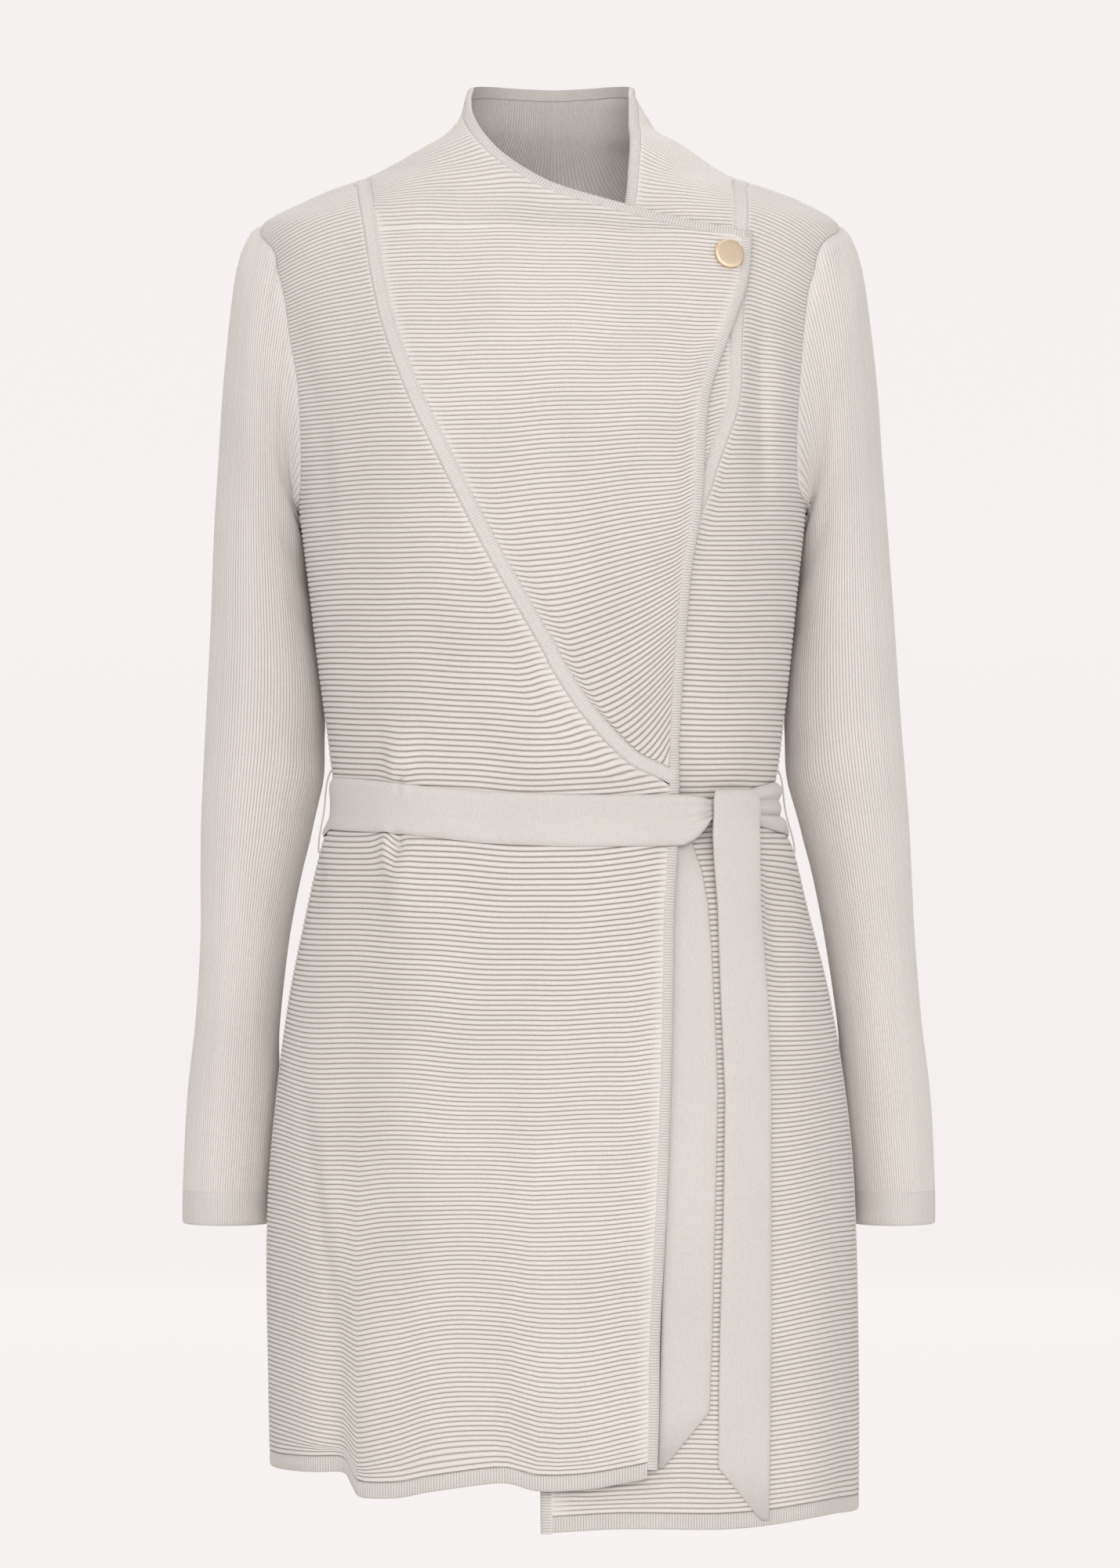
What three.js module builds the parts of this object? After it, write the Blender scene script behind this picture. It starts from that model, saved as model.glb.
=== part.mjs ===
// Long wrap cardigan in a horizontal rib knit, shaped as if worn, with no wearer inside.
// The wearer's right front lies over the left one, snapped at its corner and tied with a belt.
// Millimetres, +Z up. The front faces -Y and the wearer's right is -X.
// The origin lies between the shoulders, level with the neck end of the shoulder seams.
import * as THREE from "three";

// Driving sizes
const WALL = 2; // the knit
const GAP = 0.35; // between two pieces at a seam
const RIB_HEIGHT = 0.7;
const ROW = 12; // from a rib to the groove beside it: each rib stands for about seven knitted ones
const INNER_EDGE_INSET = 1.2; // of a coarse inside from the seams
const SEAM_STRAY = 0.8; // the most that a coarse inside cuts a curved seam short
const BINDING_WIDTH = 6.5;
const BINDING_WALL = 2.6;
const BINDING_CROWN = 0.5; // how much fuller a strip is along its middle
const BAND_WIDTH = 9;
const BAND_CROWN = 0.6;
const HEM_HEIGHT = 10;
const BELOW_BAND = 4; // from a band's lower end to the front's next row
const SHOULDER_TIP_Z = -24;
const SHOULDER_BAND_Z = 5;
const UNDERARM_Z = -205;
const SKIRT_WAVE_Z = -560; // the hem's waves fade out at this height
const HEM_LOOKUP_Z = -810;
const BELT_Z = -392;
const BELT_WIDTH = 32;
const BELT_WALL = 2.5;
const BELT_CROWN = 0.7;
const BELT_CLEARANCE = RIB_HEIGHT + 0.8;
const TAIL_WALL = 2.2;
const KNOT_WALL = 2;
const BUTTON_RADIUS = 9.25;
const BUTTON_THICKNESS = 3;
const BUTTON_BEVEL = 0.8;
const BUTTON_X = 106;
const BUTTON_Z = -49.2;
const LOOP_RADIUS = 0.6;
const LOOP_CLEARANCE = 0.5;
const CUFF_TOP_Z = -628;
const CUFF_BOTTOM_Z = -649;
const ARMHOLE_GAP = 1.2; // between a sleeve and the panels round it
const SLEEVE_CAP_FULLNESS = 5; // how far the sleeve rolls out just past the armhole
const BACK_ARMHOLE_SHIFT = 2; // the right side's back armhole lies this much further out

// How finely the pieces are cut
const FINE = 8; // steps between two rows of a table when a line is smoothed
const RIGHT_FRONT_SHARES = [0, 0.1, 0.2, 0.29, 0.36, 0.43, 0.51, 0.6, 0.7, 0.8, 0.9, 1];
const LEFT_FRONT_COLUMNS = 9;
const LAPEL_COLUMNS = 8;
const SLEEVE_COLUMNS = 18;
const BELT_COLUMNS = 50;
const TAIL_COLUMNS = 3;
const KNOT_COLUMNS = 4;
const BUTTON_SIDES = 24;
const LOOP_SIDES = 5;
const LOOP_STEPS = 11;

// The body form: a ring at each height, rounder than a box and squarer than an ellipse.
// right and left are half widths, front and back are depths, all from the centre line.
const SQUARENESS = 2.3;
const FORM = [
  { z: 70, right: 51.5, left: 50, front: 34, back: 61 },
  { z: 62, right: 52, left: 50.3, front: 36, back: 62 },
  { z: 56, right: 54, left: 51, front: 39, back: 64 },
  { z: 42, right: 58, left: 59.2, front: 47, back: 68 },
  { z: 34, right: 64, left: 65, front: 51, back: 71 },
  { z: 27, right: 72.3, left: 78, front: 54, back: 74 },
  { z: 20, right: 86, left: 88.5, front: 57, back: 77 },
  { z: 12, right: 101.5, left: 99.7, front: 60, back: 80 },
  { z: 5, right: 116.3, left: 112.8, front: 63, back: 82 },
  { z: -2, right: 137, left: 134.4, front: 67, back: 84 },
  { z: -10, right: 155.5, left: 155, front: 71, back: 87 },
  { z: -24, right: 181, left: 177.5, front: 78, back: 91 },
  { z: -50, right: 182, left: 177, front: 90, back: 96 },
  { z: -100, right: 176, left: 171, front: 108, back: 102 },
  { z: -150, right: 167, left: 163, front: 121, back: 104 },
  { z: -205, right: 158, left: 157, front: 126, back: 103 },
  { z: -250, right: 152, left: 152, front: 122, back: 100 },
  { z: -300, right: 146, left: 147, front: 113, back: 96 },
  { z: -353, right: 139, left: 141, front: 103, back: 92 },
  { z: -392, right: 136, left: 137, front: 97, back: 90 },
  { z: -411, right: 144, left: 148, front: 99, back: 93 },
  { z: -450, right: 153, left: 158, front: 103, back: 99 },
  { z: -510, right: 165, left: 173, front: 108, back: 106 },
  { z: -588, right: 174.5, left: 184.5, front: 113, back: 112 },
  { z: -652, right: 178.3, left: 188.3, front: 116, back: 115 },
  { z: -750, right: 177.3, left: 190, front: 119, back: 117 },
  { z: -830, right: 175.5, left: 190, front: 121, back: 118 },
];

// Soft troughs (height below 0) and ridges on the front and the back. Each lies at x, from its top
// down to its bottom, and is deepest where deepAt says, as a share of its length.
const FOLDS = [
  { side: "front", x: -134, top: -610, bottom: -900, width: 11, height: -8, deepAt: 0.8 },
  { side: "front", x: -111, top: -610, bottom: -900, width: 17, height: 5, deepAt: 0.8 },
  { side: "front", x: -34, top: -560, bottom: -900, width: 26, height: -4, deepAt: 0.8 },
  { side: "front", x: 5, top: -600, bottom: -900, width: 24, height: 3, deepAt: 0.8 },
  { side: "front", x: -93, top: -325, bottom: -376, width: 8, height: 4, deepAt: 0.7 },
  { side: "front", x: -91, top: -409, bottom: -480, width: 9, height: 5, deepAt: 0.2 },
  { side: "front", x: 127, top: -60, bottom: -230, width: 8, height: -4, deepAt: 0.4 },
  { side: "front", x: 138, top: -60, bottom: -260, width: 10, height: 2, deepAt: 0.4 },
  { side: "front", x: 138, top: -409, bottom: -560, width: 9, height: -4, deepAt: 0.25 },
  { side: "front", x: 158, top: -520, bottom: -900, width: 20, height: 3, deepAt: 0.7 },
  { side: "back", x: -70, top: -409, bottom: -620, width: 16, height: 4, deepAt: 0.3 },
  { side: "back", x: 62, top: -409, bottom: -600, width: 15, height: 4, deepAt: 0.3 },
  { side: "back", x: 5, top: -520, bottom: -900, width: 34, height: -5, deepAt: 0.75 },
  { side: "back", x: -95, top: -640, bottom: -900, width: 26, height: 4, deepAt: 0.75 },
  { side: "back", x: 100, top: -620, bottom: -900, width: 26, height: 4, deepAt: 0.75 },
  { side: "back", x: -40, top: -290, bottom: -376, width: 14, height: 4, deepAt: 0.7 },
  { side: "back", x: 48, top: -300, bottom: -376, width: 14, height: 4, deepAt: 0.7 },
];

// Rib lines of each lapel, from the waist up to the centre back. Row i of a band table and row i
// of an edge table are the two ends of one rib line. x is on the front, turn is the share of the
// quarter circle from the shoulder ridge round to the centre back.
const CENTRE_BACK_TURN = 0.9975;
const BAND_BEHIND = [
  { turn: 0, z: SHOULDER_BAND_Z },
  { turn: 0.37, z: -0.5 },
  { turn: 0.5, z: -7 },
  { turn: 0.64, z: -14 },
  { turn: 0.82, z: -22 },
  { turn: CENTRE_BACK_TURN, z: -26 },
];
const EDGE_BEHIND = [
  { turn: 0.25, z: 66 },
  { turn: 0.5, z: 67.5 },
  { turn: 0.77, z: 67.5 },
  { turn: CENTRE_BACK_TURN, z: 67 },
];
const RIGHT_BAND = [
  { x: 65, z: -364 },
  { x: 45, z: -353 },
  { x: 16, z: -320 },
  { x: -12, z: -272 },
  { x: -41, z: -220 },
  { x: -70, z: -162 },
  { x: -84, z: -133 },
  { x: -99, z: -94 },
  { x: -107, z: -62 },
  { x: -112, z: -32 },
  { x: -113.3, z: -25 },
  { x: -114.5, z: -18 },
  { x: -115.5, z: -12 },
  { x: -116.5, z: -7 },
  { x: -117.5, z: -1 },
  ...BAND_BEHIND,
];
const RIGHT_EDGE = [
  { x: 75.5, z: -352 },
  { x: 77, z: -325 },
  { x: 79.5, z: -285 },
  { x: 83, z: -243 },
  { x: 89.7, z: -200 },
  { x: 92.5, z: -152 },
  { x: 96.7, z: -127 },
  { x: 107, z: -98 },
  { x: 118, z: -66 },
  { x: 121.5, z: -34, corner: true },
  { x: 80, z: -26.5 },
  { x: 42, z: -17 },
  { x: 0, z: -4 },
  { x: -22, z: 9 },
  { x: -39, z: 24.5 },
  { x: -49, z: 45 },
  { x: -51, z: 62 },
  ...EDGE_BEHIND,
];
const RIGHT_EDGE_BELOW = [
  { x: 62.5, z: -790 },
  { x: 63.5, z: -750 },
  { x: 64, z: -706 },
  { x: 68, z: -630 },
  { x: 70.3, z: -563 },
  { x: 71.8, z: -494 },
  { x: 72.3, z: -453 },
  { x: 74.4, z: -411 },
  { x: 75, z: -375 },
];
const LEFT_BAND = [
  { x: -2, z: -352 },
  { x: 24, z: -325 },
  { x: 52, z: -280 },
  { x: 74, z: -235 },
  { x: 91, z: -196 },
  { x: 98, z: -174 },
  { x: 104, z: -158 },
  { x: 110, z: -141 },
  { x: 112, z: -125 },
  { x: 112.4, z: -99 },
  { x: 113.5, z: -75 },
  { x: 115, z: -52 },
  { x: 115.5, z: -32 },
  { x: 116, z: -18 },
  { x: 116, z: -8 },
  { x: 115.5, z: -1 },
  ...BAND_BEHIND,
];
const LEFT_EDGE = [
  { x: -16, z: -341 },
  { x: -17, z: -318 },
  { x: -19, z: -272 },
  { x: -21.5, z: -232 },
  { x: -23.5, z: -196 },
  { x: -24, z: -176 },
  { x: -23.5, z: -160 },
  { x: -22, z: -142, corner: true },
  { x: -5, z: -123 },
  { x: 12, z: -100 },
  { x: 24, z: -76 },
  { x: 33, z: -50 },
  { x: 40, z: -30 },
  { x: 44, z: -15 },
  { x: 46.3, z: 5 },
  { x: 48, z: 24.5 },
  { x: 48.3, z: 45 },
  { x: 49.6, z: 62 },
  ...EDGE_BEHIND,
];
const LEFT_EDGE_BELOW = [
  { x: -7.6, z: -829 },
  { x: -9, z: -706 },
  { x: -10.5, z: -630 },
  { x: -11.5, z: -563 },
  { x: -12.5, z: -494 },
  { x: -13.5, z: -430 },
  { x: -15, z: -375 },
];

// Armhole seams, from the shoulder tip to the underarm.
const RIGHT_ARMHOLE_FRONT = [
  { x: -175, z: -39 },
  { x: -170.5, z: -54 },
  { x: -166, z: -72 },
  { x: -162.3, z: -99 },
  { x: -158, z: -124 },
  { x: -156.3, z: -153 },
  { x: -156, z: -178 },
  { x: -157, z: -194 },
];
const LEFT_ARMHOLE_FRONT = [
  { x: 168, z: -36 },
  { x: 161, z: -56 },
  { x: 157, z: -70 },
  { x: 153.5, z: -103 },
  { x: 151, z: -136 },
  { x: 150, z: -168 },
  { x: 152, z: -190 },
];
const ARMHOLE_BACK = [
  { x: 173, z: -44 },
  { x: 166, z: -70 },
  { x: 159, z: -100 },
  { x: 153, z: -140 },
  { x: 150, z: -175 },
  { x: 153, z: -194 },
];

// Heights of the hems over x.
const RIGHT_HEM = [
  { x: -180, z: -797.5 },
  { x: -150, z: -796 },
  { x: -132, z: -795.5 },
  { x: -123, z: -802.5 },
  { x: -116, z: -808.5 },
  { x: -93, z: -808 },
  { x: -72, z: -803.5 },
  { x: -31, z: -798 },
  { x: -9, z: -802.5 },
  { x: 20, z: -801.5 },
  { x: 42, z: -798 },
  { x: 57, z: -795 },
  { x: 62.5, z: -790 },
];
const LEFT_HEM = [
  { x: -7.6, z: -828.5 },
  { x: 42, z: -826.3 },
  { x: 100, z: -827.8 },
  { x: 130, z: -826.7 },
  { x: 157, z: -823.9 },
  { x: 175, z: -822.9 },
  { x: 190, z: -824.5 },
];
const BACK_HEM = [
  { x: -178, z: -798 },
  { x: -95, z: -806 },
  { x: 5, z: -808 },
  { x: 100, z: -818 },
  { x: 191, z: -824.5 },
];

// Sleeve rings below the armhole: outer and inner x and z as seen from the front, how far the
// ring's middle lies behind the garment's mid depth, and half depth. The arms hang a little back.
// blend is how far the ring has left the armhole's own outline.
const RIGHT_SLEEVE = [
  { outX: -192, outZ: -33, inX: -163, inZ: -206, middle: 10, depth: 61, blend: 0.4 },
  { outX: -201.5, outZ: -62, inX: -165, inZ: -209, middle: 13, depth: 59, blend: 0.75 },
  { outX: -206.3, outZ: -118, inX: -160, inZ: -222, middle: 20, depth: 56, blend: 1 },
  { outX: -209.8, outZ: -165, inX: -153.5, inZ: -250, middle: 27, depth: 53, blend: 1 },
  { outX: -213, outZ: -215, inX: -148.5, inZ: -285, middle: 30, depth: 50, blend: 1 },
  { outX: -215, outZ: -270, inX: -144.5, inZ: -320, middle: 30, depth: 47, blend: 1 },
  { outX: -218, outZ: -330, inX: -144.5, inZ: -360, middle: 30, depth: 44, blend: 1 },
  { outX: -221, outZ: -392, inX: -151.5, inZ: -400, middle: 30, depth: 41, blend: 1 },
  { outX: -221.5, outZ: -430, inX: -159, inZ: -430, middle: 30, depth: 39, blend: 1 },
  { outX: -221.5, outZ: -470, inX: -166.5, inZ: -470, middle: 30, depth: 37, blend: 1 },
  { outX: -224.5, outZ: -520, inX: -172, inZ: -520, middle: 30, depth: 36, blend: 1 },
  { outX: -230, outZ: -570, inX: -173, inZ: -570, middle: 32, depth: 35, blend: 1 },
  { outX: -233, outZ: CUFF_TOP_Z, inX: -177.5, inZ: CUFF_TOP_Z, middle: 34, depth: 34, blend: 1 },
];
const LEFT_SLEEVE = [
  { outX: 185.5, outZ: -33, inX: 161, inZ: -206, middle: 10, depth: 61, blend: 0.4 },
  { outX: 196, outZ: -62, inX: 163, inZ: -209, middle: 13, depth: 59, blend: 0.75 },
  { outX: 202.3, outZ: -118, inX: 159.5, inZ: -222, middle: 20, depth: 56, blend: 1 },
  { outX: 206, outZ: -165, inX: 153.5, inZ: -250, middle: 27, depth: 53, blend: 1 },
  { outX: 210, outZ: -215, inX: 149, inZ: -285, middle: 30, depth: 50, blend: 1 },
  { outX: 214, outZ: -270, inX: 146, inZ: -320, middle: 30, depth: 47, blend: 1 },
  { outX: 218, outZ: -330, inX: 146.5, inZ: -360, middle: 30, depth: 44, blend: 1 },
  { outX: 223, outZ: -392, inX: 155.5, inZ: -400, middle: 30, depth: 41, blend: 1 },
  { outX: 225, outZ: -430, inX: 163.5, inZ: -430, middle: 30, depth: 39, blend: 1 },
  { outX: 227, outZ: -470, inX: 171.2, inZ: -470, middle: 30, depth: 37, blend: 1 },
  { outX: 231, outZ: -520, inX: 178.5, inZ: -520, middle: 30, depth: 36, blend: 1 },
  { outX: 237, outZ: -570, inX: 181.5, inZ: -570, middle: 32, depth: 35, blend: 1 },
  { outX: 240, outZ: CUFF_TOP_Z, inX: 187.5, inZ: CUFF_TOP_Z, middle: 34, depth: 34, blend: 1 },
];

// The belt's hanging ends: the two side edges at each height, and how far each row stands out.
const FRONT_TAIL = [
  { z: -378, from: 98, to: 124.5, out: 11.4 },
  { z: -406, from: 98, to: 126, out: 11.2 },
  { z: -422, from: 99, to: 126.3, out: 8 },
  { z: -450, from: 100.5, to: 126.5, out: 5 },
  { z: -504, from: 101.5, to: 130, out: 4 },
  { z: -563, from: 104, to: 132, out: 4 },
  { z: -635, from: 103, to: 132.3, out: 4 },
  { z: -706, from: 101, to: 132.5, out: 4 },
  { z: -750, from: 100.5, to: 132, out: 4 },
  { z: -790, from: 100.3, to: 131.2, out: 4 },
  { z: -822.5, from: 126, to: 130.5, out: 4 },
];
const UNDER_TAIL = [
  { z: -411, from: 61, to: 85, out: 3.4 },
  { z: -426, from: 62, to: 90.3, out: 3.4 },
  { z: -446, from: 63.5, to: 94, out: 3.4 },
  { z: -473, from: 64.5, to: 96, out: 3.4 },
  { z: -535, from: 67, to: 98.9, out: 3.4 },
  { z: -563, from: 68, to: 99.8, out: 3.4 },
  { z: -635, from: 67, to: 98.5, out: 3.4 },
  { z: -706, from: 65.5, to: 96.9, out: 3.4 },
  { z: -756, from: 64, to: 95, out: 3.4 },
  { z: -789, from: 63.5, to: 67, out: 3.4 },
];

// The flat wrap of the belt over the crossing, from which the front end hangs.
const KNOT = [
  { z: -372, from: 99.5, to: 128, out: 7.8 },
  { z: -378, from: 99, to: 131, out: 8.6 },
  { z: -392, from: 99, to: 132, out: 8.8 },
  { z: -405, from: 99.5, to: 130, out: 8.4 },
];

// The belt's height over x.
const BELT_HEIGHTS = [
  { x: -150, z: -389 },
  { x: -60, z: -390 },
  { x: 80, z: -394 },
  { x: 128, z: -386 },
  { x: 150, z: -387 },
];

// How far the overlap stands off the form, so that the underlap and the belt's end fit beneath.
const LIFT = [
  { z: 100, lift: 5.2 },
  { z: -340, lift: 5.2 },
  { z: -385, lift: 8.4 },
  { z: -900, lift: 8.4 },
];
// It starts at this x and grows over this width, and from the side over this share of the quarter.
const LIFT_START_X = -130;
const LIFT_GROWTH = 60;
const LIFT_GROWTH_Q = 0.5;
// The belt steps back in past the overlap's edge.
const BELT_STEP_X = 84;
const BELT_STEP_WIDTH = 13;

const COLOURS = {
  rib: 0xdcd5cc,
  plain: 0xd8d1c7,
  thread: 0xe6e1d9,
  gold: 0xd9b98a,
};
const QUARTER = Math.PI / 2;
const SEAM_Q = 0.001; // half the seam gap at the sides and shoulders, in quarter turns

const clamp01 = (t) => Math.min(1, Math.max(0, t));
const smooth01 = (t) => clamp01(t) ** 2 * (3 - 2 * clamp01(t));
const mix = (a, b, t) => a + (b - a) * t;
const evenShares = (count) => Array.from({ length: count + 1 }, (_, i) => i / count);

// A named column of a table, smooth between rows that run down in z.
function at(table, column, z) {
  let i = 0;
  while (i < table.length - 2 && z < table[i + 1].z) i++;
  const before = table[Math.max(0, i - 1)];
  const a = table[i];
  const b = table[i + 1];
  const after = table[Math.min(table.length - 1, i + 2)];
  const span = b.z - a.z;
  const t = clamp01((z - a.z) / span);
  const slopeA = ((b[column] - before[column]) / (b.z - before.z)) * span;
  const slopeB = ((after[column] - a[column]) / (after.z - a.z)) * span;
  return (
    (2 * t ** 3 - 3 * t ** 2 + 1) * a[column] +
    (t ** 3 - 2 * t ** 2 + t) * slopeA +
    (3 * t ** 2 - 2 * t ** 3) * b[column] +
    (t ** 3 - t ** 2) * slopeB
  );
}

// A column looked up along x, straight between rows that run up in x.
function along(table, column, x) {
  let i = 0;
  while (i < table.length - 2 && x > table[i + 1].x) i++;
  const t = clamp01((x - table[i].x) / (table[i + 1].x - table[i].x));
  return mix(table[i][column], table[i + 1][column], t);
}

// A point of the bare form. q counts quarter turns: 0 right side, 1 front, 2 left side, 3 back.
function formPoint(q, z) {
  const c = Math.cos(q * QUARTER);
  const s = Math.sin(q * QUARTER);
  const halfWidth = at(FORM, c > 0 ? "right" : "left", z);
  const depth = at(FORM, s > 0 ? "front" : "back", z);
  const x = -halfWidth * Math.sign(c) * Math.abs(c) ** (2 / SQUARENESS);
  const y = -depth * Math.sign(s) * Math.abs(s) ** (2 / SQUARENESS);
  return new THREE.Vector3(x, y, z);
}

function formSlopes(q, z) {
  const step = 0.01;
  const alongQ = formPoint(q + step, z).sub(formPoint(q - step, z)).divideScalar(2 * step);
  const alongZ = formPoint(q, z + 1).sub(formPoint(q, z - 1)).divideScalar(2);
  return { alongQ, alongZ, normal: alongQ.clone().cross(alongZ).normalize() };
}

function foldHeight(point) {
  let height = 0;
  for (const fold of FOLDS) {
    if ((fold.side === "front") !== point.y < 0) continue;
    const down = (fold.top - point.z) / (fold.top - fold.bottom);
    if (down <= 0 || down >= 1) continue;
    const rise = smooth01(down / fold.deepAt);
    const fall = smooth01((1 - down) / (1 - fold.deepAt));
    const across = (point.x - fold.x) / fold.width;
    height += fold.height * rise * fall * Math.exp(-across * across);
  }
  return height;
}

// The garment's surface, moved out along its normal.
function surface(q, z, out) {
  const point = formPoint(q, z);
  const { normal } = formSlopes(q, z);
  return point.addScaledVector(normal, out + foldHeight(point));
}

// Quarter turns at which the form's front, or back, has this x.
function frontQ(x, z) {
  const halfWidth = at(FORM, x < 0 ? "right" : "left", z);
  const c = Math.min(1, Math.abs(x) / halfWidth) ** (SQUARENESS / 2);
  const q = Math.max(Math.acos(c) / QUARTER, SEAM_Q);
  return x < 0 ? q : 2 - q;
}
const backQ = (x, z) => (x < 0 ? -frontQ(x, z) : 4 - frontQ(x, z));

// A table row as a place on the form. Behind the shoulder it is counted from that side's ridge.
function place(row, isRight) {
  const q = row.turn === undefined ? frontQ(row.x, row.z) : isRight ? -row.turn : 2 + row.turn;
  return { q, z: row.z, corner: row.corner };
}
const places = (table, isRight) => table.map((row) => place(row, isRight));

// More points between the places of a line, smooth but at its corners.
function refine(line, parts) {
  const result = [];
  for (let i = 0; i < line.length - 1; i++) {
    const a = line[i];
    const b = line[i + 1];
    const before = i > 0 && !a.corner ? line[i - 1] : a;
    const after = i + 2 < line.length && !b.corner ? line[i + 2] : b;
    for (let k = 0; k < parts; k++) {
      const t = k / parts;
      const bend = (name) => {
        const slopeA = before === a ? b[name] - a[name] : (b[name] - before[name]) / 2;
        const slopeB = after === b ? b[name] - a[name] : (after[name] - a[name]) / 2;
        return (
          (2 * t ** 3 - 3 * t ** 2 + 1) * a[name] +
          (t ** 3 - 2 * t ** 2 + t) * slopeA +
          (3 * t ** 2 - 2 * t ** 3) * b[name] +
          (t ** 3 - t ** 2) * slopeB
        );
      };
      result.push({ q: bend("q"), z: bend("z"), corner: k === 0 && a.corner });
    }
  }
  result.push(line[line.length - 1]);
  return result;
}

// The line moved sideways on the form, to the left of its own direction seen from outside.
function shift(line, distance) {
  return line.map(({ q, z, corner }, i) => {
    const { alongQ, alongZ, normal } = formSlopes(q, z);
    const here = formPoint(q, z);
    const sides = [];
    if (i > 0) {
      const step = here.clone().sub(formPoint(line[i - 1].q, line[i - 1].z));
      sides.push(normal.clone().cross(step).normalize());
    }
    if (i < line.length - 1) {
      const step = formPoint(line[i + 1].q, line[i + 1].z).sub(here);
      sides.push(normal.clone().cross(step).normalize());
    }
    const first = sides[0];
    const last = sides[sides.length - 1];
    const move = first.clone().add(last).multiplyScalar(distance / (1 + first.dot(last)));
    const qq = alongQ.dot(alongQ);
    const qz = alongQ.dot(alongZ);
    const zz = alongZ.dot(alongZ);
    const moveQ = move.dot(alongQ);
    const moveZ = move.dot(alongZ);
    const det = qq * zz - qz * qz;
    return {
      q: q + (moveQ * zz - moveZ * qz) / det,
      z: z + (moveZ * qq - moveQ * qz) / det,
      corner,
    };
  });
}

// Where a line reaches a value of q or z, whichever name is given.
function cross(line, name, value) {
  for (let i = 0; i < line.length - 1; i++) {
    const a = line[i][name] - value;
    const b = line[i + 1][name] - value;
    if (a * b <= 0 && a !== b) {
      const t = a / (a - b);
      return {
        q: mix(line[i].q, line[i + 1].q, t),
        z: mix(line[i].z, line[i + 1].z, t),
      };
    }
  }
  throw new Error("the line never reaches " + name + " = " + value);
}

// A closed wall between a grid of outer points and a grid of inner ones, which may be coarser.
// A wrapped grid closes on itself across its columns.
function wallGeometry(outer, inner, wrapped = false) {
  const positions = [];
  const faces = [];
  const addGrid = (grid) =>
    grid.map((row) =>
      row.map((point) => {
        positions.push(point.x, point.y, point.z);
        return positions.length / 3 - 1;
      }),
    );
  const closed = (row) => (wrapped ? [...row, row[0]] : row);
  const outerIds = addGrid(outer).map(closed);
  const innerIds = addGrid(inner).map(closed);
  const skin = (ids, reversed) => {
    for (let r = 0; r < ids.length - 1; r++) {
      for (let c = 0; c < ids[r].length - 1; c++) {
        const [a, b, d, e] = [ids[r][c], ids[r + 1][c], ids[r + 1][c + 1], ids[r][c + 1]];
        if (reversed) faces.push(a, d, b, a, e, d);
        else faces.push(a, b, d, a, d, e);
      }
    }
  };
  skin(outerIds, false);
  skin(innerIds, true);
  const place = (id) => new THREE.Vector3().fromArray(positions, 3 * id);
  const apart = (a, b) => place(a).distanceTo(place(b));
  const rim = (outerLine, innerLine) => {
    let i = 0;
    let j = 0;
    while (i < outerLine.length - 1 || j < innerLine.length - 1) {
      const outerNext = i + 1 < outerLine.length ? apart(outerLine[i + 1], innerLine[j]) : Infinity;
      const innerNext = j + 1 < innerLine.length ? apart(outerLine[i], innerLine[j + 1]) : Infinity;
      if (outerNext <= innerNext) {
        faces.push(outerLine[i + 1], outerLine[i], innerLine[j]);
        i++;
      } else {
        faces.push(outerLine[i], innerLine[j], innerLine[j + 1]);
        j++;
      }
    }
  };
  const backwards = (list) => [...list].reverse();
  const side = (ids, c) => ids.map((row) => row.at(c));
  if (!wrapped) {
    rim(side(outerIds, 0), side(innerIds, 0));
    rim(backwards(side(outerIds, -1)), backwards(side(innerIds, -1)));
  }
  rim(outerIds[outerIds.length - 1], innerIds[innerIds.length - 1]);
  rim(backwards(outerIds[0]), backwards(innerIds[0]));
  const geometry = new THREE.BufferGeometry();
  geometry.setAttribute("position", new THREE.Float32BufferAttribute(positions, 3));
  if (signedVolume(positions, faces) < 0) {
    for (let i = 0; i < faces.length; i += 3) {
      [faces[i + 1], faces[i + 2]] = [faces[i + 2], faces[i + 1]];
    }
  }
  geometry.setIndex(faces);
  geometry.computeVertexNormals();
  return geometry;
}

function signedVolume(positions, faces) {
  const corner = (id) => new THREE.Vector3().fromArray(positions, 3 * id);
  let sum = 0;
  for (let i = 0; i < faces.length; i += 3) {
    const normal = corner(faces[i + 1]).cross(corner(faces[i + 2]));
    sum += corner(faces[i]).dot(normal);
  }
  return sum;
}

const materials = Object.fromEntries(
  Object.entries(COLOURS).map(([name, color]) => [
    name,
    new THREE.MeshStandardMaterial({
      name,
      color,
      roughness: name === "gold" ? 0.25 : 0.9,
      metalness: name === "gold" ? 1 : 0,
    }),
  ]),
);
const cardigan = new THREE.Group();
function addPiece(name, geometry, material) {
  const mesh = new THREE.Mesh(geometry, materials[material]);
  mesh.name = name;
  cardigan.add(mesh);
  return mesh;
}

// How far a piece of the right front stands out: nothing at its side, all of it over the underlap.
function overlapLift(q, z) {
  const { x } = formPoint(q, z);
  const fromSide = smooth01((x - LIFT_START_X) / LIFT_GROWTH) * smooth01(q / LIFT_GROWTH_Q);
  return at(LIFT, "lift", z) * fromSide;
}
const noLift = () => 0;

// Rows of places between two lines, split at the given shares of the way.
function rowsBetween(leftLine, rightLine, shares) {
  return leftLine.map((left, i) =>
    shares.map((t) => ({
      q: mix(left.q, rightLine[i].q, t),
      z: mix(left.z, rightLine[i].z, t),
    })),
  );
}

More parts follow.
